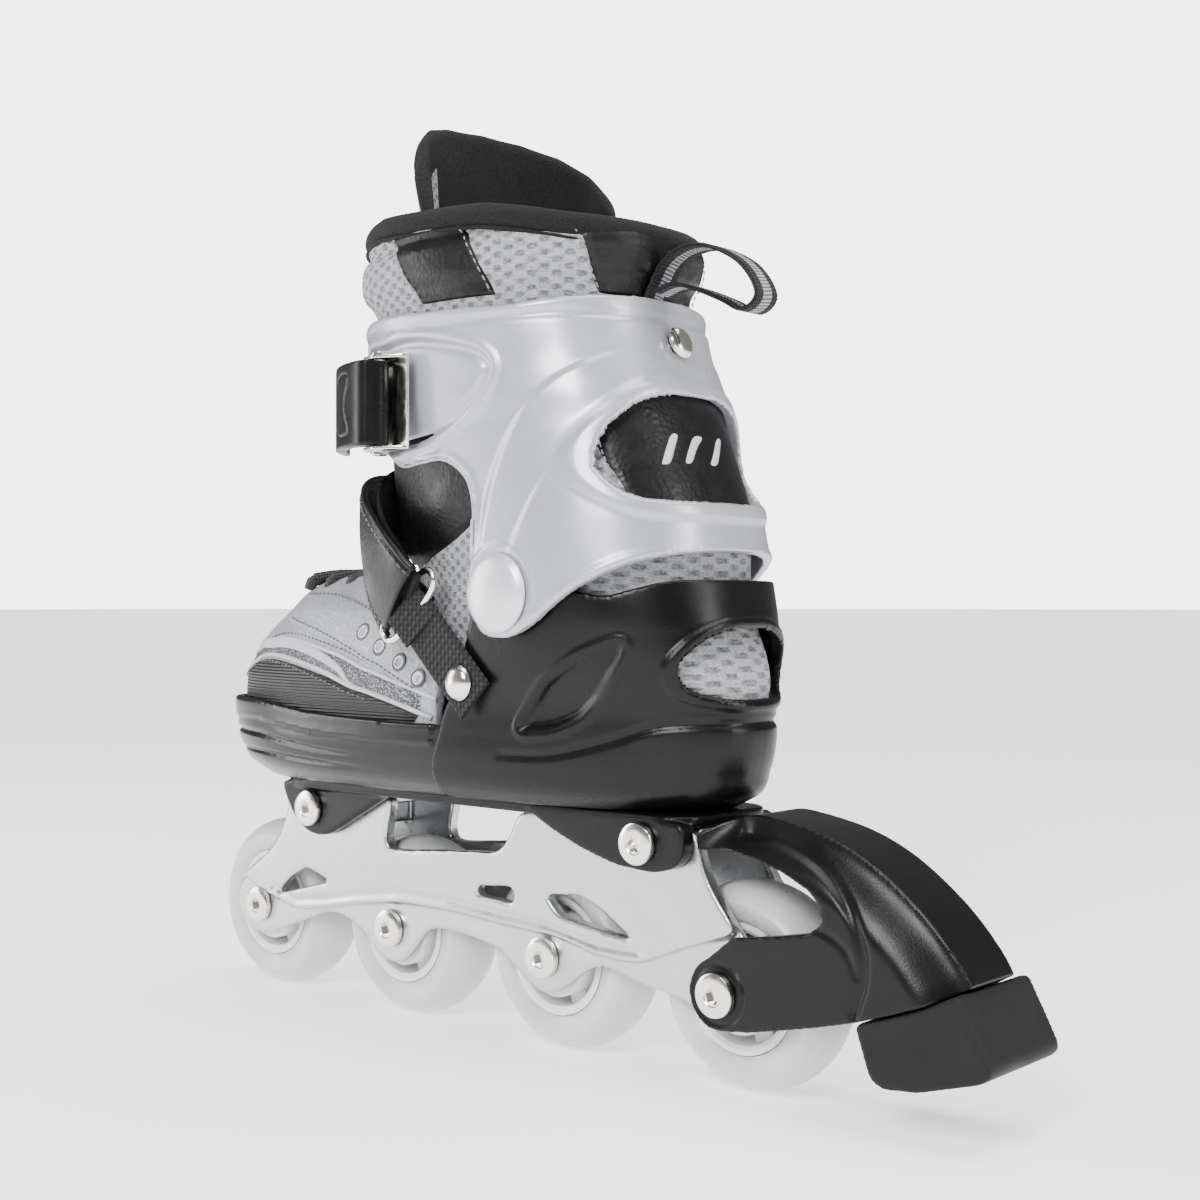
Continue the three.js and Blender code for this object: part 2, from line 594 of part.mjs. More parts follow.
const LEG_LEVELS = [
  { z: 140, back: -101.5, front: 26, wide: -45, half: 40.6 },
  { z: 168, back: -99.6, front: 26, wide: -42, half: 40.8 },
  { z: 180, back: -97.4, front: 27, wide: -38, half: 43 },
  { z: 196, back: -91, front: 29, wide: -31, half: 43.6 },
  { z: 215, back: -84, front: 32, wide: -23, half: 44.2 },
  { z: 231, back: -77, front: 35, wide: -17, half: 44.7 },
  { z: 247, back: -72, front: 36.4, wide: -13, half: 45 },
  { z: 253, back: -72.5, front: 43, wide: -14, half: 45 },
  { z: 266, back: -76, front: 44, wide: -15, half: 44 },
  { z: 272, back: -75, front: 42, wide: -15, half: 42 },
];
const TOE_LEVELS = [
  { z: 88.5, back: -100, front: 114, wide: 40, half: 32 },
  { z: 96, back: -100, front: 122, wide: 40, half: 35.8 },
  { z: 112, back: -100, front: 123.5, wide: 38, half: 36 },
  { z: 122, back: -100, front: 125, wide: 34, half: 35 },
  { z: 134, back: -100, front: 120, wide: 24, half: 31 },
  { z: 146, back: -100, front: 106, wide: 16, half: 26.5 },
  { z: 154, back: -100, front: 95, wide: 14, half: 22 },
];

// The ankle and heel part of the soft boot, inside the heel shell. Its sides are cut back
// where the toe shell's rear wings slide between the two.
function makeBootFoot() {
  const drawnIn = SHELL_WALL + 0.4;
  const outline = [
    [-48, 88], [-48, 109], [-6, 118], [4, 140], [6, 150], [-125, 150], [-125, 88],
  ];
  const outer = solid(eggLoft(FOOT_LEVELS, drawnIn, 2.5, 87.6))
    .intersect(solid(sidePlate(outline, -60, 60)));
  const inner = solid(eggLoft(FOOT_LEVELS, drawnIn + LINER_WALL, 2.5, 96));
  const wings = solid(eggLoft(FOOT_LEVELS, 2)).subtract(solid(eggLoft(FOOT_LEVELS, drawnIn + 2.8)))
    .intersect(solid(box([-53, -60, 86], [10, 60, 110])));
  return geometryOf(outer.subtract(inner).subtract(wings));
}

function makeBootLeg() {
  const outline = [
    [CUFF_PIVOT[0], 152.5], [30, 174], [60, 182], [60, 258], [20, 264], [-40, 273], [-125, 273],
    [-125, 158],
  ];
  const outer = solid(eggLoft(LEG_LEVELS, 0)).intersect(solid(sidePlate(outline, -60, 60)));
  const inner = solid(eggLoft(LEG_LEVELS, LINER_WALL));
  const opening = solid(box([20, -22, 130], [80, 22, 290]));
  return geometryOf(outer.subtract(inner).subtract(opening));
}

function makeToeUpper() {
  const outline = [
    [-1, 88], [140, 88], [140, 154], [62, 154], [50, 152], [8, 150], [-1, 118],
  ];
  const outer = solid(eggLoft(TOE_LEVELS, 0)).intersect(solid(sidePlate(outline, -60, 60)));
  const hollow = solid(eggLoft(TOE_LEVELS, 5, 2.5, 96));
  return geometryOf(outer.subtract(hollow));
}

// The padded tongue: a slab bent round the shin, with an arched top.
function makeTongue() {
  const columns = 8;
  const spread = THREE.MathUtils.degToRad(62);
  const rings = [];
  for (let i = 0; i <= columns; i += 1) {
    const side = (2 * i) / columns - 1;
    const angle = spread * side;
    const top = 316 - 34 * Math.abs(side) ** 2.4;
    const at = (radius, z, lean) => [
      radius * Math.cos(angle) + lean - 14, radius * Math.sin(angle) * 0.9, z,
    ];
    rings.push([
      at(34, 203, -1), at(33, 240, 0), at(33, top - 8, -2), at(36, top, -2), at(39, top - 6, -2),
      at(38.5, 240, 0), at(38.5, 203, -1),
    ]);
  }
  return loft(rings);
}

function makeInsole() {
  return eggLoft([
    { z: 96.3, back: -100, front: 98, wide: 40, half: 29 },
    { z: 100, back: -100, front: 98, wide: 40, half: 29 },
  ], 0);
}

// One lace: level across the front pair of eyelets, then crossing rearwards on both sides.
function makeLace() {
  const rows = [87, 76, 65];
  const height = 155.9;
  const reach = 12;
  const crossings = rows.slice(1).map((x, i) => (x + rows[i]) / 2);
  const sideOf = (row) => (row % 2 ? -reach : reach);
  const points = [];
  for (let row = rows.length - 1; row > 0; row -= 1) {
    points.push([rows[row], sideOf(row), height], [crossings[row - 1], 0, height + 4.4]);
  }
  points.push([rows[0], sideOf(0), height], [rows[0] + 1, 0, height + 0.6], [rows[0], -sideOf(0), height]);
  for (let row = 1; row < rows.length; row += 1) {
    points.push([crossings[row - 1], 0, height + 0.6], [rows[row], -sideOf(row), height]);
  }
  return rod(points, 1.6, 48, 6);
}

function makePullLoop() {
  const points = [
    [-74.6, 0, 248.4], [-78.5, 0, 256.5], [-86, 0, 260.5], [-97, 0, 260], [-110, 0, 253],
    [-116.5, 0, 242], [-111, 0, 237.5], [-103, 0, 242], [-94, 0, 246], [-86, 0, 248.2],
    [-79.5, 0, 248.4],
  ];
  return band(points, 12, 1.2, 24, [0.01, 0, 1]);
}

// ---------------------------------------------------------------- straps and buckle

// The webbing from the heel shell's rivet up to the metal ring.
function makeInstepWebbing() {
  const points = [[-34, 44.6, 119], [-22, 45.2, 131], [-12, 45.8, 140.5], [-5, 46, 147]];
  const strap = solid(band(points, 18, 1.6, 6, [0, 1, 0]));
  return geometryOf(strap.subtract(solid(sidePlate(arc([-29, 123], 2.3, 0, 315, 7), 30, 60))));
}

// The oblong metal ring that joins the webbing to the padded strap: a torus drawn out to an
// oval of 2 x `long` by 2 x `short`, turned to lie across the webbing's upper end.
function makeStrapRing() {
  const [long, short, wire] = [15.5, 4.6, 1.1];
  const ring = new THREE.TorusGeometry(short, wire, 6, 24);
  const position = ring.getAttribute('position');
  for (let i = 0; i < position.count; i += 1) {
    const [x, y] = [position.getX(i), position.getY(i)];
    position.setX(i, x + ((long - short) * x) / Math.hypot(x, y));
  }
  const along = new THREE.Vector3(0.74, 0, -0.67).normalize();
  const through = new THREE.Vector3(0, 1, 0);
  const across = new THREE.Vector3().crossVectors(through, along);
  ring.applyMatrix4(new THREE.Matrix4().makeBasis(along, across, through));
  return ring.translate(0, 46.2, 152);
}

// The padded strap over the instep, from the ring across to the heel shell's far side.
function makeInstepStrap() {
  const points = [
    [4.8, 47, 157.2], [14, 46.2, 164], [24, 42.5, 169], [36, 31.5, 173], [44, 15, 174.5], [46, 0, 174.5],
    [43, -16, 172.5], [34, -31, 167], [20, -42.6, 158], [2, -47.4, 145], [-14, -47.4, 134],
    [-32, -46.8, 120],
  ];
  const strap = solid(band(points, 27, 2.6, 22));
  const rivetHole = solid(sidePlate(arc([-29, 123], 2.3, 0, 315, 7), -60, -30));
  return geometryOf(strap.subtract(rivetHole));
}

// A domed rivet through a strap end and the heel shell.
function makeStrapRivet(side, head) {
  const profile = [
    [0, head - 4.9], [2, head - 4.9], [2, head], [5.4, head], [4.6, head + 1.4], [2.6, head + 2.4],
    [0, head + 2.8],
  ];
  const rivet = turned(profile, [0, 0], 14);
  if (side < 0) rivet.rotateZ(Math.PI);
  return rivet.translate(-29, 0, 123);
}

const BUCKLE_PIVOT = [2, 52.6, 214];
const LEVER_TURN = -24;
const BASE_TURN = -16;

// Places a piece drawn flat at the buckle's pivot: local X forwards along the cuff, Y outwards.
function placeBuckle(geometry, turn) {
  return geometry.rotateZ(THREE.MathUtils.degToRad(turn)).translate(...BUCKLE_PIVOT);
}

// The hole for the buckle's pin, along Z.
function pinDrill() {
  return solid(new THREE.CylinderGeometry(2.1, 2.1, 60, BOLT_SEGMENTS).rotateX(Math.PI / 2));
}

// The riveted metal channel of the buckle: a back plate with two ears that carry the pin.
function makeBuckleBase() {
  const back = solid(box([-12, -5, -15.4], [14, -4.2, 15.4]));
  const outline = [[-12, -5], [14, -5], [8, 1], [3, 4.5], [-4, 4.5], [-9, 0], [-12, -3]];
  const ears = [[14.4, 15.4], [-15.4, -14.4]].map(([a, b]) => solid(planPlate(outline, a, b)));
  return placeBuckle(geometryOf(union([back, ...ears]).subtract(pinDrill())), BASE_TURN);
}

function makeBucklePin() {
  const profile = [
    [0, -17], [2.6, -17], [2.6, -15.8], [1.8, -15.8], [1.8, 15.8], [2.6, 15.8], [2.6, 17], [0, 17],
  ];
  return placeBuckle(lathe(profile, BOLT_SEGMENTS).rotateX(Math.PI / 2), BASE_TURN);
}

// The buckle's lever: a curved black grip that swings outwards about the pin.
function makeBuckleLever() {
  const outline = [
    [-3.8, 3.6], [-3.4, 6.4], [2, 8.6], [14, 9.4], [28, 7], [40, 1.2], [41.5, -1], [39.5, -1.4],
    [28, 3.2], [14, 5.4], [6, 4.4], [4.6, 0], [2, -2.6], [-2, -2.6], [-3.8, 0],
  ];
  const lever = solid(planPlate(outline, -14, 14));
  return placeBuckle(geometryOf(lever.subtract(pinDrill())), LEVER_TURN);
}

// The toothed strap round the front of the leg, from the far side of the cuff into the buckle.
function makeLadderStrap() {
  const points = [
    [24, 40.5, 216], [34, 33.5, 217], [44, 23, 218], [51, 11, 218.5], [53, 0, 218.5], [51, -14, 218],
    [45, -29, 217], [32, -42, 215], [16, -48.4, 212], [-8, -50.4, 209],
  ];
  return band(points, 20, 2, 22);
}

makeWheels();
add('frame', makeFrame(), 'aluminium');
add('brake_arm', makeBrakeArm(), 'blackPlastic');
add('brake_pad', makeBrakePad(), 'rubber');
add('brake_pad_screw', makeBrakeScrew(), 'steel');
add('sole_plate', makeSolePlate(), 'blackPlastic');
add('rear_shell', makeRearShell(), 'blackPlastic');
add('toe_shell', makeToeShell(), 'blackGloss');
add('size_button', makeSizeButton(), 'silverPlastic');
add('cuff', makeCuff(), 'silverPlastic');
add('cuff_pivot_left', makeCuffPivot(1), 'pearl');
add('cuff_pivot_right', makeCuffPivot(-1), 'pearl');
add('cuff_rear_rivet', makeCuffRivet(), 'steel');
for (const [name, centre, lobe] of [['front', FRONT_BOLT, FRONT_LOBE], ['rear', REAR_BOLT, REAR_LOBE]]) {
  const face = lobe + GAP + HEAD_DEPTH;
  const bolt = { face, headRadius: 6.6, shankRadius: 2.9, end: -lobe + 2 };
  add(`${name}_mount_bolt`, makeCrossBolt(centre, bolt), 'steel');
  add(`${name}_mount_nut`, makeCrossNut(centre, bolt), 'steel');
}
add('boot_foot', makeBootFoot(), 'greyMesh');
add('boot_leg', makeBootLeg(), 'greyMesh');
add('toe_upper', makeToeUpper(), 'silverLeather');
add('tongue', makeTongue(), 'blackFabric');
add('insole', makeInsole(), 'blackFabric');
add('lace', makeLace(), 'blackFabric');
add('pull_loop', makePullLoop(), 'blackFabric');
add('instep_webbing', makeInstepWebbing(), 'blackFabric');
add('strap_ring', makeStrapRing(), 'steel');
add('instep_strap', makeInstepStrap(), 'blackGloss');
add('strap_rivet_left', makeStrapRivet(1, 46), 'steel');
add('strap_rivet_right', makeStrapRivet(-1, 49.8), 'steel');
add('buckle_base', makeBuckleBase(), 'steel');
add('buckle_pin', makeBucklePin(), 'steel');
add('buckle_lever', makeBuckleLever(), 'blackPlastic');
add('ladder_strap', makeLadderStrap(), 'blackPlastic');

export default skate;
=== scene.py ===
import math

import bmesh
import bpy
import numpy as np
from mathutils import Matrix, Vector
from mathutils.geometry import tessellate_polygon


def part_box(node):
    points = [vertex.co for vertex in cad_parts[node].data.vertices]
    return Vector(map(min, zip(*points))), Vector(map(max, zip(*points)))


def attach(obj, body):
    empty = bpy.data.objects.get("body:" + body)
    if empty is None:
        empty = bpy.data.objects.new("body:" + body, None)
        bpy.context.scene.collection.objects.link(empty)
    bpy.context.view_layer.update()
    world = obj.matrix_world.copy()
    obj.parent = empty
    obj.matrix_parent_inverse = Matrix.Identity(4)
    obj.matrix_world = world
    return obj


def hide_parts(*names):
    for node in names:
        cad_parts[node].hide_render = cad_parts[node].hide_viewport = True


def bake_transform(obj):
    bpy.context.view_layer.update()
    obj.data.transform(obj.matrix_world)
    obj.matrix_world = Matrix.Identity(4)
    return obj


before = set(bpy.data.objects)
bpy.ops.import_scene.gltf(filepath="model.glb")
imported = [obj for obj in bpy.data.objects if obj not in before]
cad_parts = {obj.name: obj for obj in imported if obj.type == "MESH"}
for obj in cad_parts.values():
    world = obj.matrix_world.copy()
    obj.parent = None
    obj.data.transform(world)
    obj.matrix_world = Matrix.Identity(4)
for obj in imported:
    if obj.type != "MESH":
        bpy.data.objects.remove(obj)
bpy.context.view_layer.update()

# ---------------------------------------------------------------- the working frame
# Shapes are drawn in millimetres with x = 0 midway between the middle wheels, y = 0 in the
# wheels' plane and z = 0 on the floor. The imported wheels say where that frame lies.


def middle(node):
    low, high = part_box(node)
    return (low + high) / 2


FRONT_WHEEL, REAR_WHEEL = middle("tyre_1"), middle("tyre_4")
ORIGIN = np.array([(FRONT_WHEEL.x + REAR_WHEEL.x) / 2, FRONT_WHEEL.y, 0.0])
WHEEL_RADIUS = FRONT_WHEEL.z * 1000
PITCH = (FRONT_WHEEL.x - REAR_WHEEL.x) / 3 * 1000
AXLES = [1.5 * PITCH, 0.5 * PITCH, -0.5 * PITCH, -1.5 * PITCH]
CHEEK = 16.3  # the frame's outer face at an axle, and at the brake arm's ears
EAR_CHEEK = 21.3
AXLE_BORE = 3.9
BASE_BOLT_BORE = 3.1
FRONT_BOLT = (76, 72.7)
REAR_BOLT = (-86, 74.7)
CUFF_PIVOT = (-48, 151.6)
RIVET = (-29, 123)
EGG_POWER = 2.5
EGG_POINTS = 128
SHARP_ANGLE = 38
BEVEL_ANGLE = 35
STRAP_CORNER = 0.45
SKIN_RADIUS = 46.0


def to_frame(points):
    """Drawing millimetres to the row frame's metres."""
    return np.asarray(points, float) / 1000 + ORIGIN


def place(x, y, z):
    return tuple(float(value) for value in to_frame([x, y, z]))


# ---------------------------------------------------------------- outlines


def arc(centre, radius, start, end, steps):
    """Points on an arc, angles in degrees."""
    angles = np.radians(np.linspace(start, end, steps + 1))
    return [(centre[0] + radius * math.cos(a), centre[1] + radius * math.sin(a)) for a in angles]


def circle(centre, radius, steps=32):
    return arc(centre, radius, 0, 360 - 360 / steps, steps - 1)


def rounded(points, radius, steps=4):
    """A closed outline with each corner eased by a short curve."""
    result = []
    count = len(points)
    for i in range(count):
        here = Vector(points[i])
        before = Vector(points[i - 1]) - here
        after = Vector(points[(i + 1) % count]) - here
        start = here + before.normalized() * min(radius, before.length * 0.45)
        end = here + after.normalized() * min(radius, after.length * 0.45)
        for k in range(steps + 1):
            t = k / steps
            point = start * (1 - t) ** 2 + here * 2 * t * (1 - t) + end * t * t
            result.append((point.x, point.y))
    return result


def spline(points, per=8, closed=False):
    """A Catmull-Rom line through the points."""
    source = np.asarray(points, float)
    count = len(source)
    spans = count if closed else count - 1
    result = []
    for i in range(spans):
        if closed:
            a, b, c, d = (source[(i + k) % count] for k in (-1, 0, 1, 2))
        else:
            b, c = source[i], source[i + 1]
            a = source[i - 1] if i > 0 else 2 * b - c
            d = source[i + 2] if i + 2 < count else 2 * c - b
        for k in range(per):
            t = k / per
            result.append(0.5 * (2 * b + (c - a) * t + (2 * a - 5 * b + 4 * c - d) * t * t
                                 + (3 * b - a - 3 * c + d) * t ** 3))
    if not closed:
        result.append(source[-1])
    return np.array(result)


def outline_distance(points, outline):
    """Distance of each 2-D point to a closed outline, negative inside."""
    points = np.asarray(points, float)
    corners = np.asarray(outline, float)
    best = np.full(len(points), 1e9)
    inside = np.zeros(len(points), bool)
    for i in range(len(corners)):
        a, b = corners[i - 1], corners[i]
        edge = b - a
        t = np.clip(((points - a) @ edge) / max(edge @ edge, 1e-12), 0, 1)
        best = np.minimum(best, np.linalg.norm(points - (a + t[:, None] * edge), axis=1))
        crosses = (a[1] > points[:, 1]) != (b[1] > points[:, 1])
        slope = (b[0] - a[0]) * (points[:, 1] - a[1]) / (b[1] - a[1] + 1e-12) + a[0]
        inside ^= crosses & (points[:, 0] < slope)
    return np.where(inside, -best, best)


def line_distance(points, line):
    """Distance of each 2-D point to an open line."""
    best = np.full(len(points), 1e9)
    for a, b in zip(line[:-1], line[1:]):
        a, b = np.asarray(a, float), np.asarray(b, float)
        edge = b - a
        t = np.clip(((points - a) @ edge) / max(edge @ edge, 1e-12), 0, 1)
        best = np.minimum(best, np.linalg.norm(points - (a + t[:, None] * edge), axis=1))
    return best


def ease(value, low, high):
    """0 below low, 1 above high, smooth between."""
    t = np.clip((np.asarray(value, float) - low) / (high - low), 0, 1)
    return t * t * (3 - 2 * t)


# ---------------------------------------------------------------- mesh making


def shade_smooth(obj):
    obj.data.polygons.foreach_set("use_smooth", [True] * len(obj.data.polygons))
    return obj


def mesh_object(name, points, faces, uvs=None):
    """A mesh from drawing millimetres; uvs has one pair for each point."""
    mesh = bpy.data.meshes.new(name)
    mesh.from_pydata([tuple(p) for p in to_frame(points)], [], [tuple(f) for f in faces])
    mesh.validate()
    obj = bpy.data.objects.new(name, mesh)
    bpy.context.scene.collection.objects.link(obj)
    if uvs is not None:
        layer = mesh.uv_layers.new(name="UVMap")
        for loop in mesh.loops:
            layer.data[loop.index].uv = uvs[loop.vertex_index]
    return shade_smooth(obj)


def face_out(obj):
    """Turns every face of a closed mesh outwards."""
    work = bmesh.new()
    work.from_mesh(obj.data)
    bmesh.ops.recalc_face_normals(work, faces=work.faces)
    work.to_mesh(obj.data)
    work.free()
    return obj


def modify(obj, kind, **settings):
    """Adds a modifier, applies it and leaves the plain result."""
    modifier = obj.modifiers.new(kind.lower(), kind)
    for key, value in settings.items():
        setattr(modifier, key, value)
    depsgraph = bpy.context.evaluated_depsgraph_get()
    result = bpy.data.meshes.new_from_object(obj.evaluated_get(depsgraph))
    obj.modifiers.clear()
    old = obj.data
    obj.data = result
    bpy.data.meshes.remove(old)
    return obj


def cut(obj, *cutters, operation="DIFFERENCE"):
    """Cuts other closed meshes out of a closed mesh, and removes the cutters."""
    for cutter in cutters:
        modify(obj, "BOOLEAN", object=cutter, operation=operation, solver="EXACT")
        bpy.data.objects.remove(cutter)
    return obj


def join(name, parts):
    """One object from several, by copying their faces together."""
    work = bmesh.new()
    for part in parts:
        work.from_mesh(part.data)
        bpy.data.objects.remove(part)
    mesh = bpy.data.meshes.new(name)
    work.to_mesh(mesh)
    work.free()
    obj = bpy.data.objects.new(name, mesh)
    bpy.context.scene.collection.objects.link(obj)
    return obj


def remesh(obj, size, smooth):
    """Melts closed meshes into one even skin, which softens every edge like a moulding's."""
    modify(obj, "REMESH", mode="VOXEL", voxel_size=size / 1000, use_smooth_shade=True)
    return modify(obj, "SMOOTH", factor=0.5, iterations=smooth)


def smooth_by_angle(obj, angle=SHARP_ANGLE):
    shade_smooth(obj).data.set_sharp_from_angle(angle=math.radians(angle))
    return obj


def bevel(obj, width):
    modify(obj, "BEVEL", width=width / 1000, segments=2, limit_method="ANGLE",
           angle_limit=math.radians(BEVEL_ANGLE), miter_outer="MITER_ARC")
    return smooth_by_angle(obj)


def read_points(obj):
    """A mesh's points in drawing millimetres, and its normals."""
    count = len(obj.data.vertices)
    points = np.empty(count * 3)
    normals = np.empty(count * 3)
    obj.data.vertices.foreach_get("co", points)
    obj.data.vertices.foreach_get("normal", normals)
    return (points.reshape(-1, 3) - ORIGIN) * 1000, normals.reshape(-1, 3)


def write_points(obj, points):
    obj.data.vertices.foreach_set("co", to_frame(points).ravel())
    obj.data.update()


def sculpt(obj, depth_at):
    """Moves each point along its normal by depth_at(points, normals), in millimetres."""
    points, normals = read_points(obj)
    write_points(obj, points + normals * depth_at(points, normals)[:, None])
    return obj


def prism(name, outline, low, high, holes=(), axis="y"):
    """A closed outline with holes, drawn out along an axis from low to high."""
    loops = [list(outline)] + [list(hole) for hole in holes]
    flat = [point for loop in loops for point in loop]
    triangles = tessellate_polygon([[Vector((p[0], p[1], 0)) for p in loop] for loop in loops])
    order = {"y": (0, 2, 1), "x": (2, 0, 1), "z": (0, 1, 2)}[axis]
    ends = [(p[0], p[1], end) for end in (low, high) for p in flat]
    points = [[point[k] for k in order] for point in ends]
    count = len(flat)
    faces = [list(t) for t in triangles] + [[i + count for i in reversed(t)] for t in triangles]
    start = 0
    for loop in loops:
        size = len(loop)
        for i in range(size):
            j = (i + 1) % size
            faces.append([start + i, start + j, start + j + count, start + i + count])
        start += size
    return face_out(mesh_object(name, points, faces))


def side_prism(name, outline, side, near, far, holes=()):
    """A prism on one side of the middle plane, from near to far of it."""
    low, high = sorted((side * near, side * far))
    return prism(name, outline, low, high, holes)


def block(name, low, high):
    outline = [(low[0], low[2]), (high[0], low[2]), (high[0], high[2]), (low[0], high[2])]
    return prism(name, outline, low[1], high[1])


def grid(name, rows, around=True, caps=False):
    """A skin through rows of points; around closes each row, caps closes both ends."""
    rows = np.asarray(rows, float)
    count, width = rows.shape[:2]
    points = rows.reshape(-1, 3)
    faces = []
    for r in range(count - 1):
        for i in range(width if around else width - 1):
            j = (i + 1) % width
            faces.append([r * width + i, r * width + j, (r + 1) * width + j, (r + 1) * width + i])
    across = np.concatenate([np.zeros((count, 1)), np.cumsum(
        np.linalg.norm(np.diff(rows, axis=1), axis=2), axis=1)], axis=1)
    along = np.concatenate([np.zeros((1, width)), np.cumsum(
        np.linalg.norm(np.diff(rows, axis=0), axis=2), axis=0)], axis=0)
    typical = across.mean(axis=0)
    uvs = np.stack([np.broadcast_to(typical, along.shape), along], axis=2).reshape(-1, 2)
    if caps:
        faces.append(list(range(width))[::-1])
        faces.append(list(range((count - 1) * width, count * width)))
    obj = mesh_object(name, points, faces, uvs)
    return face_out(obj) if caps else obj


def turned(name, profile, centre, segments, axis="y"):
    """A closed lathe; the profile is a loop of (radius, position along the axis)."""
    rows = []
    for radius, along in profile:
        ring = []
        for i in range(segments):
            angle = 2 * math.pi * i / segments
            a, b = radius * math.cos(angle), radius * math.sin(angle)
            ring.append((centre[0] + a, along, centre[1] + b) if axis == "y"
                        else (centre[0] + a, centre[1] + b, along))
        rows.append(ring)
    rows.append(rows[0])
    obj = grid(name, rows)
    modify(obj, "WELD", merge_threshold=1e-6)
    return smooth_by_angle(face_out(obj), 30)


def frames_along(line, out=None):
    """Centre, side and face directions at each point of a line."""
    line = np.asarray(line, float)
    along = np.gradient(line, axis=0)
    along /= np.linalg.norm(along, axis=1)[:, None]
    if out is None:
        guess = np.stack([line[:, 0] + 20, line[:, 1], np.zeros(len(line))], axis=1)
    elif callable(out):
        guess = out(line)
    else:
        guess = np.broadcast_to(np.asarray(out, float), line.shape)
    side = np.cross(along, guess)
    side /= np.linalg.norm(side, axis=1)[:, None]
    face = np.cross(side, along)
    return line, side, face


def strap(name, line, width, thick, out=None, crown=0.0):
    """A flat band with rounded edges along a line, with a width for each point if given."""
    line, side, face = frames_along(line, out)
    widths = np.broadcast_to(np.asarray(width, float), (len(line),))
    half = thick / 2
    edge = min(half, thick * STRAP_CORNER)
    section = []
    for sx in np.linspace(-1, 1, 17):
        section.append((sx, half + crown * (1 - sx * sx) - edge * ease(abs(sx), 0.9, 1.0)))
    for sx in np.linspace(1, -1, 17):
        section.append((sx, -half + crown * (1 - sx * sx) + edge * ease(abs(sx), 0.9, 1.0)))
    rows = [[line[i] + side[i] * sx * widths[i] / 2 + face[i] * h for sx, h in section]
            for i in range(len(line))]
    return smooth_by_angle(grid(name, rows, caps=True), 50)


def cord(name, line, radius, sides, out=None):
    """A round cord along a line."""
    line, side, face = frames_along(line, out)
    rows = []
    for i in range(len(line)):
        rows.append([line[i] + radius * (side[i] * math.cos(a) + face[i] * math.sin(a))
                     for a in np.linspace(0, 2 * math.pi, sides, endpoint=False)])
    return grid(name, rows, caps=True)


def resample(line, step):
    """Evenly spaced points along a line."""
    line = np.asarray(line, float)
    lengths = np.concatenate([[0], np.cumsum(np.linalg.norm(np.diff(line, axis=0), axis=1))])
    count = max(2, int(round(lengths[-1] / step)) + 1)
    wanted = np.linspace(0, lengths[-1], count)
    return np.stack([np.interp(wanted, lengths, line[:, k]) for k in range(3)], axis=1)


def stitches(name, line, pitch, length, radius, out=None):
    """A row of thread stitches lying along a line, each six-sided and thin at its ends."""
    line, side, face = frames_along(resample(line, pitch), out)
    stations = [(-0.5, 0.15), (-0.38, 0.8), (0, 1.0), (0.38, 0.8), (0.5, 0.15)]
    sides = 6
    points, faces = [], []
    for i in range(len(line) - 1):
        step = line[i + 1] - line[i]
        size = np.linalg.norm(step)
        if size < 1e-6:
            continue
        along = step / size
        start = len(points)
        for offset, fat in stations:
            centre = line[i] + step * 0.5 + along * offset * length
            sink = face[i] * (-0.25 * (1 - fat))
            for k in range(sides):
                angle = 2 * math.pi * k / sides
                points.append(centre + sink + radius * fat * (
                    side[i] * math.cos(angle) + face[i] * math.sin(angle)))
        for r in range(len(stations) - 1):
            here, ahead = start + r * sides, start + (r + 1) * sides
            for k in range(sides):
                m = (k + 1) % sides
                faces.append([here + k, here + m, ahead + m, ahead + k])
        faces.append([start + k for k in range(sides)][::-1])
        faces.append([ahead + k for k in range(sides)])
    return mesh_object(name, points, faces)


def dress(obj, look):
    """Gives a piece its only material, by its name in MATERIALS."""
    obj.data.materials.clear()
    obj.data.materials.append(MATERIALS[look])
    return obj


def finish_piece(obj, look, body, *nodes, slot=None):
    """Paints a piece, sets it riding and hides the CAD nodes it stands for."""
    dress(obj, look)
    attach(obj, body)
    if nodes:
        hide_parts(*nodes)
    return obj


# ---------------------------------------------------------------- materials


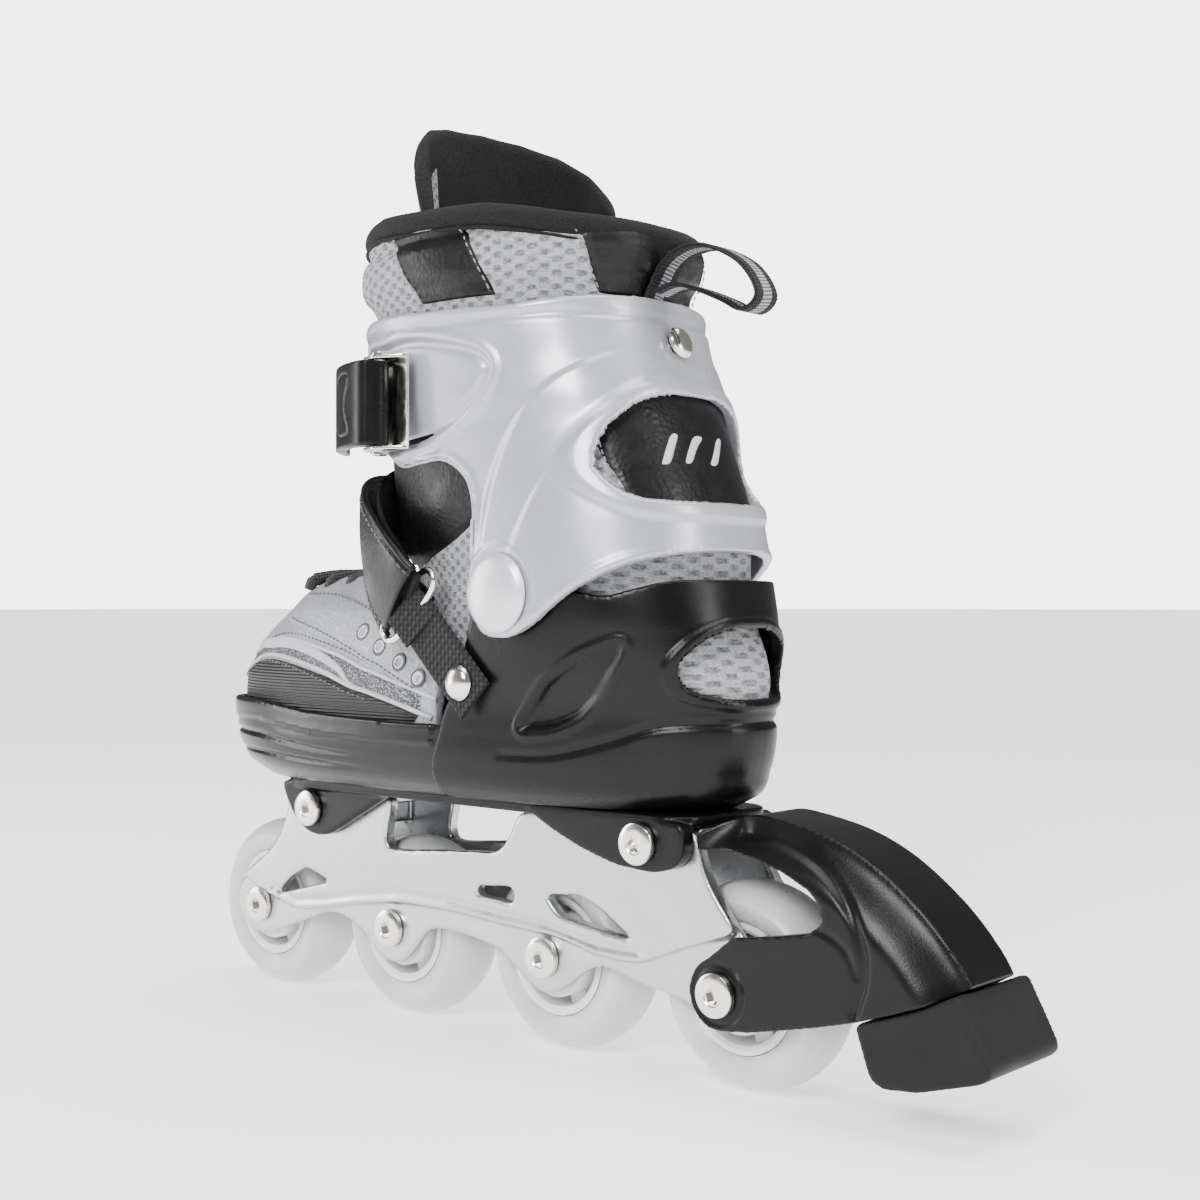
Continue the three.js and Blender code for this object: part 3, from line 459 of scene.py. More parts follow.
class Paint:
    """A material's node tree, with short calls for the nodes that these materials use."""

    def __init__(self, name, color, roughness, metallic=0.0, **sockets):
        self.material = bpy.data.materials.new(name)
        self.material.use_nodes = True
        self.tree = self.material.node_tree
        self.shader = self.tree.nodes["Principled BSDF"]
        self.shader.inputs["Base Color"].default_value = (*color, 1)
        self.shader.inputs["Roughness"].default_value = roughness
        self.shader.inputs["Metallic"].default_value = metallic
        for key, value in sockets.items():
            self.shader.inputs[key.replace("_", " ")].default_value = value
        self.height = None

    def node(self, kind, **settings):
        node = self.tree.nodes.new(kind)
        for key, value in settings.items():
            setattr(node, key, value)
        return node

    def link(self, source, target):
        self.tree.links.new(source, target)
        return self

    def coordinates(self, output):
        return self.node("ShaderNodeTexCoord").outputs[output]

    def noise(self, scale, detail, rough=0.5, stretch=(1, 1, 1)):
        mapping = self.node("ShaderNodeMapping")
        mapping.inputs["Scale"].default_value = stretch
        self.link(self.coordinates("Object"), mapping.inputs["Vector"])
        node = self.node("ShaderNodeTexNoise")
        node.inputs["Scale"].default_value = scale
        node.inputs["Detail"].default_value = detail
        node.inputs["Roughness"].default_value = rough
        self.link(mapping.outputs["Vector"], node.inputs["Vector"])
        return node.outputs["Fac"]

    def cells(self, scale):
        node = self.node("ShaderNodeTexVoronoi", feature="F1")
        node.inputs["Scale"].default_value = scale
        node.inputs["Randomness"].default_value = 1.0
        self.link(self.coordinates("Object"), node.inputs["Vector"])
        return node.outputs["Distance"]

    def math(self, operation, *values):
        node = self.node("ShaderNodeMath", operation=operation)
        for value, socket in zip(values, node.inputs):
            if isinstance(value, (int, float)):
                socket.default_value = value
            else:
                self.link(value, socket)
        return node.outputs[0]

    def spread(self, value, low, high, new_low=0.0, new_high=1.0):
        node = self.node("ShaderNodeMapRange", clamp=True)
        for index, number in enumerate((low, high, new_low, new_high), start=1):
            node.inputs[index].default_value = number
        self.link(value, node.inputs[0])
        return node.outputs[0]

    def axes(self, output="Object"):
        node = self.node("ShaderNodeSeparateXYZ")
        self.link(self.coordinates(output), node.inputs[0])
        return node.outputs

    def colours(self, value, low, high):
        node = self.node("ShaderNodeMix", data_type="RGBA")
        node.inputs["A"].default_value = (*low, 1)
        node.inputs["B"].default_value = (*high, 1)
        self.link(value, node.inputs["Factor"])
        self.link(node.outputs["Result"], self.shader.inputs["Base Color"])
        return self

    def roughness(self, value, low, high):
        return self.link(self.spread(value, 0.3, 0.7, low, high), self.shader.inputs["Roughness"])

    def bump(self, height, distance):
        """Adds a bump of a depth in millimetres; several stack up."""
        node = self.node("ShaderNodeBump")
        node.inputs["Strength"].default_value = 1.0
        node.inputs["Distance"].default_value = distance / 1000
        self.link(height, node.inputs["Height"])
        if self.height is not None:
            self.link(self.height, node.inputs["Normal"])
        self.height = node.outputs["Normal"]
        self.link(self.height, self.shader.inputs["Normal"])
        return self


def mottled(name, colour, rough, metallic=0.0, shade=None, wear=None, grain=(), **sockets):
    """A material from plain patterns: shade varies its colour, wear its roughness, grain its skin.

    Each pattern starts with its scale and its detail, and a detail of 0 asks for cells, not noise.
    """
    paint = Paint(name, colour, rough, metallic, **sockets)

    def pattern(scale, detail):
        return paint.noise(scale, detail) if detail else paint.cells(scale)

    if shade:
        paint.colours(pattern(*shade[:2]), *shade[2:])
    if wear:
        paint.roughness(pattern(*wear[:2]), *wear[2:])
    for scale, detail, depth in grain:
        paint.bump(pattern(scale, detail), depth)
    return paint.material


def urethane():
    paint = Paint("tyre_urethane", (0.66, 0.69, 0.67), 0.3, Subsurface_Weight=0.45,
                  Subsurface_Scale=0.012, Transmission_Weight=0.18, IOR=1.45, Coat_Weight=0.1)
    paint.shader.inputs["Subsurface Radius"].default_value = (1.0, 1.0, 0.95)
    paint.roughness(paint.noise(90, 3), 0.26, 0.42)
    return paint.bump(paint.noise(700, 2), 0.03).material


def steel():
    paint = Paint("bearing_steel", (0.56, 0.56, 0.57), 0.28, 1.0)
    paint.roughness(paint.noise(500, 3, stretch=(1, 0.05, 1)), 0.2, 0.38)
    return paint.bump(paint.noise(900, 2), 0.01).material


def brake_rubber():
    paint = Paint("brake_rubber", (0.006, 0.006, 0.0065), 0.62, Specular_IOR_Level=0.2)
    paint.colours(paint.noise(120, 5, 0.7), (0.004, 0.004, 0.0045), (0.009, 0.009, 0.0095))
    paint.roughness(paint.noise(60, 4), 0.5, 0.72)
    paint.bump(paint.noise(900, 4, 0.7), 0.06)
    return paint.bump(paint.noise(90, 3, stretch=(1, 1, 0.25)), 0.12).material


def skin_coordinates(paint):
    """Millimetres round the leg and up it, for patterns on the boot's skin."""
    axes = paint.axes()
    x = paint.math("SUBTRACT", axes["X"], float(ORIGIN[0]) - 0.015)
    y = paint.math("SUBTRACT", axes["Y"], float(ORIGIN[1]))
    around = paint.math("MULTIPLY", paint.math("ARCTAN2", y, x), SKIN_RADIUS)
    return around, paint.math("MULTIPLY", axes["Z"], 1000.0)


def lattice(paint, u, v, wide, tall):
    """Staggered round cells: 1 in the middle of each cell, -1 between the rows."""
    a = paint.math("COSINE", paint.math("MULTIPLY", u, 2 * math.pi / wide))
    b = paint.math("COSINE", paint.math("MULTIPLY", v, 2 * math.pi / tall))
    return paint.math("MULTIPLY", a, b)


def uv_axes(paint):
    axes = paint.axes("UV")
    return axes["X"], axes["Y"]


def air_mesh():
    """Grey melange spacer mesh with rows of oval cells."""
    paint = Paint("grey_air_mesh", (0.32, 0.33, 0.35), 0.85, Sheen_Weight=0.1, Specular_IOR_Level=0.2)
    u, v = skin_coordinates(paint)
    cells = paint.spread(lattice(paint, u, v, 6.4, 4.2), -0.05, 0.7)
    fibres = paint.noise(780, 4, 0.8, stretch=(1, 1, 2.0))
    # The fibre noise gives the real melange tone; the cells term is painted shade that darkens the colour
    # where the bump sinks the oval cells.
    melange_and_cell_shade = paint.math("ADD", paint.math("MULTIPLY", cells, -0.55), paint.math("MULTIPLY", fibres, 3.0))
    paint.colours(paint.spread(melange_and_cell_shade, 0.45, 2.05), (0.012, 0.0125, 0.014), (0.42, 0.43, 0.455))
    paint.bump(paint.math("MULTIPLY", cells, -1.0), 0.55)
    return paint.bump(fibres, 0.18).material


def leather(name, low, high, rough, grain=0.12, coat=0.0):
    return mottled(name, high, rough, shade=(60, 4, low, high), wear=(120, 3, rough - 0.08, rough + 0.1),
                   grain=[(620, 0, grain), (70, 4, grain * 2.2)], Coat_Weight=coat,
                   Coat_Roughness=0.25, Specular_IOR_Level=0.22)


def glitter_mesh():
    paint = Paint("glitter_mesh", (0.3, 0.31, 0.33), 0.5, 0.3)
    sparkle = paint.spread(paint.cells(1300), 0.0, 0.5)
    paint.colours(sparkle, (0.7, 0.72, 0.75), (0.05, 0.052, 0.057))
    paint.roughness(paint.noise(1200, 3), 0.25, 0.7)
    return paint.bump(sparkle, 0.2).material


def black_textile():
    paint = Paint("fine_black_textile", (0.01, 0.01, 0.011), 0.85, Sheen_Weight=0.04,
                  Specular_IOR_Level=0.15)
    u, v = skin_coordinates(paint)
    weave = lattice(paint, u, v, 1.3, 1.0)
    fibres = paint.noise(1400, 4, 0.7)
    paint.colours(paint.spread(fibres, 0.3, 0.75), (0.003, 0.003, 0.0035), (0.013, 0.013, 0.014))
    paint.bump(weave, 0.14)
    return paint.bump(paint.noise(40, 3), 0.4).material


def ribbed_black():
    paint = Paint("ribbed_black_panel", (0.01, 0.01, 0.011), 0.45, Specular_IOR_Level=0.5)
    axes = paint.axes()
    height = paint.math("MULTIPLY", axes["Z"], 1000.0)
    ribs = paint.math("SINE", paint.math("MULTIPLY", height, 2 * math.pi / 1.1))
    # Painted shade: the rib waves that shape the bump also darken the colour in the grooves and lighten it
    # on the crests.
    paint.colours(paint.spread(ribs, -0.8, 0.8), (0.005, 0.005, 0.006), (0.013, 0.013, 0.014))
    paint.bump(ribs, 0.12)
    return paint.bump(paint.noise(900, 3), 0.08).material


def webbing(name, stripe_width=None, pitch=1.25):
    """Woven ribbon, with a pale stripe down the middle of each face if a width is given."""
    paint = Paint(name, (0.01, 0.01, 0.011), 0.8, Sheen_Weight=0.04, Specular_IOR_Level=0.25)
    u, v = uv_axes(paint)
    weave = lattice(paint, u, v, pitch, pitch)
    ribs = paint.math("SINE", paint.math("MULTIPLY", v, 2 * math.pi / pitch))
    fibres = paint.noise(2200, 3, 0.7)
    if stripe_width is None:
        # Painted shade: the weave cells that raise the bump are lighter and the gaps between them darker;
        # the fibre noise adds real random tone.
        paint.colours(paint.spread(paint.math("ADD", weave, fibres), -0.2, 1.4),
                      (0.004, 0.004, 0.0045), (0.02, 0.02, 0.022))
    else:
        near = paint.math("ABSOLUTE", paint.math("SUBTRACT", u, 6.0))
        far = paint.math("ABSOLUTE", paint.math("SUBTRACT", u, 19.0))
        inside = paint.math("LESS_THAN", paint.math("MINIMUM", near, far), stripe_width / 2)
        # The pale stripe is real; the rib waves that shape the bump darken it in the rib grooves as painted
        # shade.
        rib_shaded_stripe = paint.math("MULTIPLY", inside, paint.spread(ribs, -1.4, 0.9))
        paint.colours(rib_shaded_stripe, (0.014, 0.014, 0.016), (0.52, 0.53, 0.56))
    paint.bump(weave, 0.3)
    return paint.bump(ribs, 0.25).material


def thread(name, colour, low, high, rough, sheen):
    return mottled(name, colour, rough, shade=(2500, 2, low, high), grain=[(3000, 2, 0.05)],
                   Sheen_Weight=sheen)


def lace_cord():
    paint = Paint("braided_lace", (0.01, 0.01, 0.011), 0.75, Sheen_Weight=0.05)
    u, v = uv_axes(paint)
    braid = lattice(paint, paint.math("ADD", u, v), paint.math("SUBTRACT", u, v), 2.2, 2.2)
    # Painted shade: the braid pattern that raises the bump also darkens the colour between the strands and
    # lightens their tops.
    paint.colours(paint.spread(braid, -0.6, 0.8), (0.01, 0.01, 0.011), (0.045, 0.045, 0.048))
    return paint.bump(braid, 0.3).material


MATERIALS = {
    "urethane": urethane(),
    "hub": mottled("hub_white_plastic", (0.74, 0.75, 0.74), 0.38, wear=(160, 2, 0.32, 0.46),
                   grain=[(900, 2, 0.02)], Subsurface_Weight=0.15, Subsurface_Scale=0.003),
    "steel": steel(),
    "nickel": mottled("polished_nickel", (0.78, 0.75, 0.69), 0.16, 1.0, wear=(260, 4, 0.1, 0.26),
                      grain=[(500, 2, 0.012)]),
    "aluminium": mottled("satin_cast_aluminium", (0.5, 0.51, 0.525), 0.33, 0.95,
                         shade=(35, 3, (0.46, 0.468, 0.48), (0.55, 0.56, 0.57)),
                         wear=(120, 4, 0.24, 0.36), grain=[(1100, 3, 0.035), (60, 2, 0.12)],
                         Coat_Weight=0.12, Coat_Roughness=0.3),
    "black": mottled("satin_black_plastic", (0.003, 0.003, 0.0035), 0.33,
                     shade=(50, 3, (0.002, 0.002, 0.0025), (0.004, 0.004, 0.0045)),
                     wear=(70, 4, 0.25, 0.38), grain=[(1500, 0, 0.02), (45, 2, 0.1)],
                     Specular_IOR_Level=0.2),
    "gloss": mottled("gloss_black_plastic", (0.003, 0.003, 0.0035), 0.24, wear=(60, 4, 0.17, 0.3),
                     grain=[(40, 2, 0.12)], Coat_Weight=0.06, Coat_Roughness=0.1,
                     Specular_IOR_Level=0.24),
    "rubber": brake_rubber(),
    "silver": mottled("silver_grey_plastic", (0.38, 0.388, 0.43), 0.28, 0.3,
                      shade=(25, 3, (0.36, 0.368, 0.41), (0.41, 0.418, 0.46)),
                      wear=(80, 3, 0.26, 0.38), grain=[(2600, 0, 0.008), (40, 2, 0.1)],
                      Coat_Weight=0.4, Coat_Roughness=0.16),
    "pearl": mottled("pearl_cap_plastic", (0.62, 0.63, 0.67), 0.34, 0.45,
                     shade=(3200, 0, (0.58, 0.59, 0.63), (0.7, 0.71, 0.75)),
                     grain=[(2400, 2, 0.02)], Coat_Weight=0.3, Coat_Roughness=0.2),
    "grey_leather": mottled("silver_grey_leather", (0.4, 0.41, 0.44), 0.42, 0.15,
                            shade=(900, 0, (0.2, 0.207, 0.225), (0.36, 0.37, 0.395)),
                            wear=(200, 3, 0.36, 0.55), grain=[(700, 0, 0.14), (60, 3, 0.25)],
                            Coat_Weight=0.1, Coat_Roughness=0.3),
    "black_leather": leather("black_leather", (0.003, 0.003, 0.0035), (0.006, 0.006, 0.0065), 0.4),
    "gloss_leather": leather("gloss_black_leather", (0.003, 0.003, 0.0035), (0.005, 0.005, 0.0055),
                             0.34, 0.07, 0.08),
    "piping": leather("pale_piping", (0.4, 0.41, 0.44), (0.5, 0.51, 0.53), 0.45, 0.05),
    "mesh": air_mesh(),
    "glitter": glitter_mesh(),
    "textile": black_textile(),
    "ribbed": ribbed_black(),
    "lace": lace_cord(),
    "webbing": webbing("basket_webbing", pitch=2.4),
    "loop_ribbon": webbing("striped_ribbon", 4.4),
    "thread": thread("stitch_thread", (0.16, 0.165, 0.175), (0.11, 0.115, 0.12), (0.24, 0.245, 0.26),
                     0.7, 0.3),
    "dark_thread": thread("dark_thread", (0.03, 0.03, 0.033), (0.02, 0.02, 0.022),
                          (0.07, 0.07, 0.075), 0.6, 0.4),
}

# ---------------------------------------------------------------- wheels and fasteners

BEARING_NEAR, BEARING_FAR = 5.1, 12.1
HEAD_DEPTH = 2.4


def make_tyre(number, x):
    inner, half = 20.3, 10.0
    profile = [(inner, -half), (inner + 1.2, -half - 0.9)]
    for angle in np.linspace(-68, 68, 25):
        a = math.radians(angle)
        reach = abs(math.cos(a)) ** 0.86
        profile.append((21.5 + 10.5 * reach, 12.0 * math.sin(a) / math.sin(math.radians(68)) * (
            1.0 if abs(angle) > 60 else 0.985)))
    profile += [(inner + 1.2, half + 0.9), (inner, half)]
    obj = turned(f"wheel_{number}_tyre", profile, (x, WHEEL_RADIUS), 96)
    return finish_piece(obj, "urethane", f"wheel_{number}", f"tyre_{number}", slot="tyre")


def make_hub(number, x):
    centre = (x, WHEEL_RADIUS)
    rim = [(17.2, -9.6), (18.4, -10.4), (20, -10.2), (20, 10.2), (18.4, 10.4), (17.2, 9.6), (16.9, 0)]
    sleeve = [(11.25, -11.9), (13.2, -11.9), (13.9, -10.8), (13.9, 10.8), (13.2, 11.9), (11.25, 11.9)]
    spokes, count = [], 5
    for i in range(count):
        turn = 360 * i / count
        outer = arc(centre, 17.9, turn - 25, turn + 25, 10)
        inner = arc(centre, 13.6, turn + 22, turn - 22, 8)
        spokes.append(rounded(outer + inner, 1.6, 3))
    web = prism(f"hub_{number}_web", circle(centre, 18.4, 64), -4.2, 4.2,
                [circle(centre, 12.6, 48), *spokes])
    bevel(web, 0.6)
    parts = [turned("rim", rim, centre, 96), turned("sleeve", sleeve, centre, 72), web]
    obj = smooth_by_angle(join(f"wheel_{number}_hub", parts), 35)
    return finish_piece(obj, "hub", f"wheel_{number}", f"hub_{number}", slot="hub")


def make_bearing(number, x, side):
    near, far = BEARING_NEAR, BEARING_FAR
    profile = [(4, near), (10.9, near), (11, far - 0.3), (10.7, far), (9.5, far), (9.3, far - 0.5),
               (6.6, far - 0.5), (6.4, far), (4.3, far), (4, far - 0.3)]
    profile = [(radius, side * along) for radius, along in profile]
    name = "left" if side > 0 else "right"
    obj = turned(f"wheel_{number}_bearing_{name}", profile, (x, WHEEL_RADIUS), 64)
    return finish_piece(obj, "steel", f"wheel_{number}", f"bearing_{name}_{number}",
                        slot="bearing_steel")


def make_spacer(number, x):
    profile = [(4, -4.8), (5.9, -4.8), (6.2, -4.5), (6.2, 4.5), (5.9, 4.8), (4, 4.8)]
    obj = turned(f"axle_{number}_spacer", profile, (x, WHEEL_RADIUS), 40)
    return finish_piece(obj, "steel", "chassis", f"spacer_{number}", slot="bearing_steel")


def make_cross_bolt(name, centre, cheek, head, shank, node, star=False):
    """A socket head on the left, with its shank across the frame."""
    face = cheek + HEAD_DEPTH
    profile = [(0.01, -cheek + 1), (shank, -cheek + 1.3), (shank, cheek), (head - 0.2, cheek),
               (head, cheek + 0.3), (head, face - 0.7), (head - 0.25, face - 0.25),
               (head - 0.8, face), (3.4, face), (3.1, face - 0.25), (0.01, face - 0.25)]
    obj = turned(name, profile, centre, 64)
    if star:
        socket = []
        for i in range(24):
            radius = 2.5 + 0.45 * math.cos(6 * 2 * math.pi * i / 24)
            angle = 2 * math.pi * i / 24
            socket.append((centre[0] + radius * math.cos(angle), centre[1] + radius * math.sin(angle)))
    else:
        socket = arc(centre, 2.75, 8, 308, 5)
    cut(obj, prism("socket", socket, face - 1.9, face + 2))
    smooth_by_angle(obj, 30)
    return finish_piece(obj, "nickel", "chassis", node, slot="nickel")


def make_cross_nut(name, centre, cheek, head, shank, node):
    """The sleeve nut's round head on the right."""
    face = cheek + HEAD_DEPTH
    profile = [(shank - 1, -cheek + 1), (shank, -cheek + 0.8), (shank, -cheek), (head, -cheek),
               (head, -face + 0.7), (head - 0.25, -face + 0.25), (head - 0.8, -face),
               (shank - 1, -face)]
    obj = turned(name, profile, centre, 64)
    return finish_piece(obj, "nickel", "chassis", node, slot="nickel")


def make_wheels():
    for number, x in enumerate(AXLES, start=1):
        make_tyre(number, x)
        make_hub(number, x)
        make_bearing(number, x, 1)
        make_bearing(number, x, -1)
        make_spacer(number, x)
        cheek = EAR_CHEEK if number == 4 else CHEEK
        centre = (x, WHEEL_RADIUS)
        make_cross_bolt(f"axle_{number}_bolt", centre, cheek, 6.8, 3.6, f"axle_bolt_{number}")
        make_cross_nut(f"axle_{number}_nut", centre, cheek, 6.8, 3.6, f"axle_nut_{number}")
    for name, centre, cheek in (("front", FRONT_BOLT, 22.3), ("rear", REAR_BOLT, 24.3)):
        make_cross_bolt(f"{name}_base_bolt", centre, cheek, 6.6, 2.9, f"{name}_mount_bolt",
                        star=name == "rear")
        make_cross_nut(f"{name}_base_nut", centre, cheek, 6.6, 2.9, f"{name}_mount_nut")


# ---------------------------------------------------------------- frame

FRAME_OUTLINE = [
    (114, 20.5), (121, 22), (127, 26), (129.5, 31), (128.5, 37), (124, 42.5), (115, 48), (107, 53),
    (100, 60), (95.5, 69), (94, 79.6), (36, 79.6), (37, 73), (39, 66), (38, 61.5), (34, 60.5),
    (7, 63), (-7, 64), (-18, 64.5), (-24, 71), (-28, 79.6), (-103, 79.6), (-106, 68), (-110, 61),
    (-119, 50), (-126, 42), (-128, 34), (-126, 26), (-121, 21), (-114, 20), (-104, 24), (-96, 27),
    (-80, 29), (-63, 33), (-56, 30), (-47, 23), (-38, 19.5), (-31, 22), (-24, 27), (-17, 32),
    (0, 34.5), (14, 35), (20, 33), (26, 26), (32, 20.5), (38, 19.5), (46, 22), (54, 29),
    (62, 33), (73, 34), (90, 28), (103, 23),
]
RAIL_OUTLINE = [  # the rail's thick upper part shares the outline's top edge
    *FRAME_OUTLINE[5:25], (-100, 44), (-80, 36), (-63, 36), (-47, 39.6), (-38, 40.2), (-29, 40.4),
    (-17, 41), (7, 42.5), (34, 42), (58, 38.5), (73, 35.5), (90, 33), (108, 37),
]
FRAME_WINDOWS = [
    [(70, 45.5), (84, 49.5), (94, 44.5), (103, 37), (90, 40.5)],
    [(-8, 52.5), (-25, 54), (-26, 48.5), (-8, 49.3)],
    [(-40, 53), (-55, 54.5), (-64, 51.5), (-79, 42.5), (-64, 44.5), (-46, 47)],
]


def make_frame():
    drills = [circle(centre, BASE_BOLT_BORE, 24) for centre in (FRONT_BOLT, REAR_BOLT)]
    axles = [circle((x, WHEEL_RADIUS), AXLE_BORE, 24) for x in AXLES]
    windows = [rounded(window, 2.0, 3) for window in FRAME_WINDOWS]
    wide_windows = [rounded(window, 2.6, 3) for window in FRAME_WINDOWS]
    parts = []
    for side in (-1, 1):
        parts.append(side_prism("rail", rounded(FRAME_OUTLINE, 6), side, 13.4, 16,
                                [*drills, *axles, *windows]))
        parts.append(side_prism("raise", rounded(RAIL_OUTLINE, 5), side, 15, 18,
                                [*drills, *wide_windows]))
        for x, bore in zip(AXLES, axles):
            washer = circle((x, WHEEL_RADIUS), 6.5, 32)
            parts.append(side_prism("washer", washer, side, 12.4, 14, [bore]))
    for low, high in (((40, -14, 76), (93, 14, 79.6)), ((-102, -14, 77.9), (-31, 14, 79.6)),
                      ((60, -14, 66), (63, 14, 77)), ((-68, -14, 66), (-65, 14, 78.5)),
                      ((-3, -14, 42), (3, 14, 61))):
        parts.append(block("web", low, high))
    obj = remesh(join("cast_frame", parts), 0.75, 3)

    def cast(points, normals):
        """A soft groove along the foot of the thick rail, as the casting has."""
        outer = np.abs(normals[:, 1]) > 0.6
        flat = points[:, [0, 2]]
        groove = line_distance(flat, [(104, 40), (90, 36.4), (73, 38.6), (58, 41.6), (34, 45.2),
                                      (7, 45.8), (-17, 44.2), (-38, 43.4), (-63, 39.4), (-80, 39.4)])
        visible = outer & (np.abs(points[:, 1]) > 16.6)
        return np.where(visible, -0.55 * (1 - ease(groove, 0, 2.2)), 0)

    sculpt(obj, cast)
    return finish_piece(obj, "aluminium", "chassis", "frame", slot="cast_aluminium")


# ---------------------------------------------------------------- brake

ARM_TOP = [(-104.5, 78.5), (-111, 82.3), (-118, 84.6), (-126, 85), (-147, 81), (-164, 73.5),
           (-180, 61.5), (-190, 50.5), (-194, 44.2)]
ARM_SEAM = [(-194, 44.2), (-185, 39.5), (-173, 35), (-161, 31)]
ARM_OUTLINE = [
    *spline(ARM_TOP, 4)[:-1], *ARM_SEAM[:-1], (-161, 31), (-148, 27.5), (-126, 22.5),
    *arc((AXLES[3], WHEEL_RADIUS), 11, 258, 428, 16), (-119, 49.5), (-135, 52), (-146, 54),
    (-151, 57.5), (-150.5, 62), (-146, 66.5), (-137, 70.5), (-126, 73.5), (-115, 74.5), (-105, 74),
]


def make_brake_arm():
    centre = (AXLES[3], WHEEL_RADIUS)
    obj = prism("brake_arm_body", ARM_OUTLINE, -21, 21)
    wheel_room = prism("room", arc(centre, 36, 0, 180, 40) + [(-150, 0), (-78, 0)], -16.3, 16.3)
    frame_room = block("room", (-129, -18.3, 15), (-95, 18.3, 66))
    inside = prism("room", [(-150, 24), (-150, 70), (-168, 64), (-180, 52), (-186, 44.5),
                            (-172, 39.5), (-160, 35.5)], -17, 17)
    cut(obj, wheel_room, frame_room, inside, prism("bore", circle(centre, AXLE_BORE), -30, 30))
    remesh(obj, 0.7, 4)
    top_line = spline(ARM_TOP, 6)
    points, normals = read_points(obj)
    depth = line_distance(points[:, [0, 2]], top_line)
    shoulder = 0.42 * (1 - ease(depth, 0, 15)) ** 1.2
    shoulder *= ease(-points[:, 0], 100, 118)
    points[:, 1] *= 1 - shoulder
    write_points(obj, points)

    def form(points, normals):
        side = ease(np.abs(normals[:, 1]), 0.45, 0.8)
        flat = points[:, [0, 2]]
        fold = spline([(-119, 80), (-131, 79.5), (-147, 74), (-158, 65), (-164, 54), (-165, 44),
                       (-162, 34)], 6)
        gap = line_distance(flat, fold)
        step = 1.1 * (1 - ease(gap, 0.0, 2.6))
        lower = spline([(-121, 52.5), (-136, 55), (-148, 56), (-158, 52), (-163, 44)], 6)
        edge = line_distance(flat, lower)
        ear = np.linalg.norm(flat - np.array(centre), axis=1)
        ring = 0.5 * (1 - ease(np.abs(ear - 8.9), 0, 1.1))
        outer = np.abs(points[:, 1]) > 12
        return np.where(outer, side * (-step - 0.5 * (1 - ease(edge, 0, 1.8)) - ring), 0)

    sculpt(obj, form)
    return finish_piece(obj, "black", "chassis", "brake_arm", slot="black_plastic")


def make_brake_pad():
    outline = [(-161, 30.6), (-166, 16), (-170, 14), (-181, 15), (-201, 21), (-204, 24),
               (-193.8, 43.7), (-185, 39.1), (-173, 34.6)]
    obj = prism("brake_stopper", rounded(outline, 2.2), -20, 20)
    cut(obj, prism("bore", circle((-178, 0), 3.1), 0, 60, axis="z"),
        prism("well", circle((-178, 0), 6.2), 0, 24, axis="z"))
    remesh(obj, 0.8, 4)
    return finish_piece(obj, "rubber", "chassis", "brake_pad", slot="brake_rubber")


def make_brake_screw():
    profile = [(0.01, 20.5), (4.9, 20.5), (5.5, 21.1), (5.5, 23.7), (2.6, 23.7), (2.6, 41.5), (0.01, 42)]
    obj = turned("brake_stopper_screw", profile, (-178, 0), 40, axis="z")
    cross = [prism("slot", [(-181, -0.6), (-175, -0.6), (-175, 0.6), (-181, 0.6)], 18, 22, axis="z"),
             prism("slot", [(-178.6, -3), (-177.4, -3), (-177.4, 3), (-178.6, 3)], 18, 22, axis="z")]
    cut(obj, *cross)
    return finish_piece(smooth_by_angle(obj), "nickel", "chassis", "brake_pad_screw", slot="nickel")


# ---------------------------------------------------------------- hard boot

FOOT = [  # height, back, front, widest at, half width
    (84, -100, 114, 40, 34), (88, -108, 123, 40, 38.5), (96, -112, 130, 40, 42),
    (107, -114.5, 132, 40, 42.5), (115, -114, 130, 36, 42.7), (125, -113, 100, -20, 43),
    (140, -110.5, 60, -45, 43.6), (158, -107.5, 40, -45, 43.7), (168, -106, 36, -45, 43.7),
]
CUFF = [
    (134, -109, 30, -46, 47.8), (152, -108, 30, -45, 47.8), (168, -104, 30, -42, 47.6),
    (180, -101.5, 31, -38, 47.2), (196, -95, 33, -31, 47.2), (215, -88, 36, -23, 47.8),
    (231, -81, 39, -17, 48.3), (248, -76, 40, -13, 48.6),
]


def smooth_levels(levels, heights):
    """Level sizes at any heights, by smooth interpolation."""
    source = np.asarray(levels, float)
    z = source[:, 0]
    result = []
    for k in range(1, source.shape[1]):
        slopes = np.gradient(source[:, k], z)
        column = []
        for h in heights:
            i = int(np.clip(np.searchsorted(z, h) - 1, 0, len(z) - 2))
            span = z[i + 1] - z[i]
            t = (h - z[i]) / span
            a, b = source[i, k], source[i + 1, k]
            column.append((2 * t ** 3 - 3 * t ** 2 + 1) * a + (t ** 3 - 2 * t ** 2 + t) * span * slopes[i]
                          + (-2 * t ** 3 + 3 * t ** 2) * b + (t ** 3 - t ** 2) * span * slopes[i + 1])
        result.append(column)
    return np.column_stack([heights, *result])


def egg(level, inset):
    """One level ring of an egg-shaped body."""
    z, back, front, wide, half = level
    angles = np.linspace(0, 2 * math.pi, EGG_POINTS, endpoint=False)
    c, s = np.cos(angles), np.sin(angles)
    reach = np.where(c > 0, front - inset - wide, wide - back - inset)
    x = wide + reach * np.sign(c) * np.abs(c) ** (2 / EGG_POWER)
    y = (half - inset) * np.sign(s) * np.abs(s) ** (2 / EGG_POWER)
    return np.stack([x, y, np.full(EGG_POINTS, z)], axis=1)


def egg_body(name, levels, inset, low, high, step=2.0):
    heights = np.linspace(low, high, int((high - low) / step) + 2)
    rings = [egg(level, inset) for level in smooth_levels(levels, heights)]
    return grid(name, rings, caps=True)


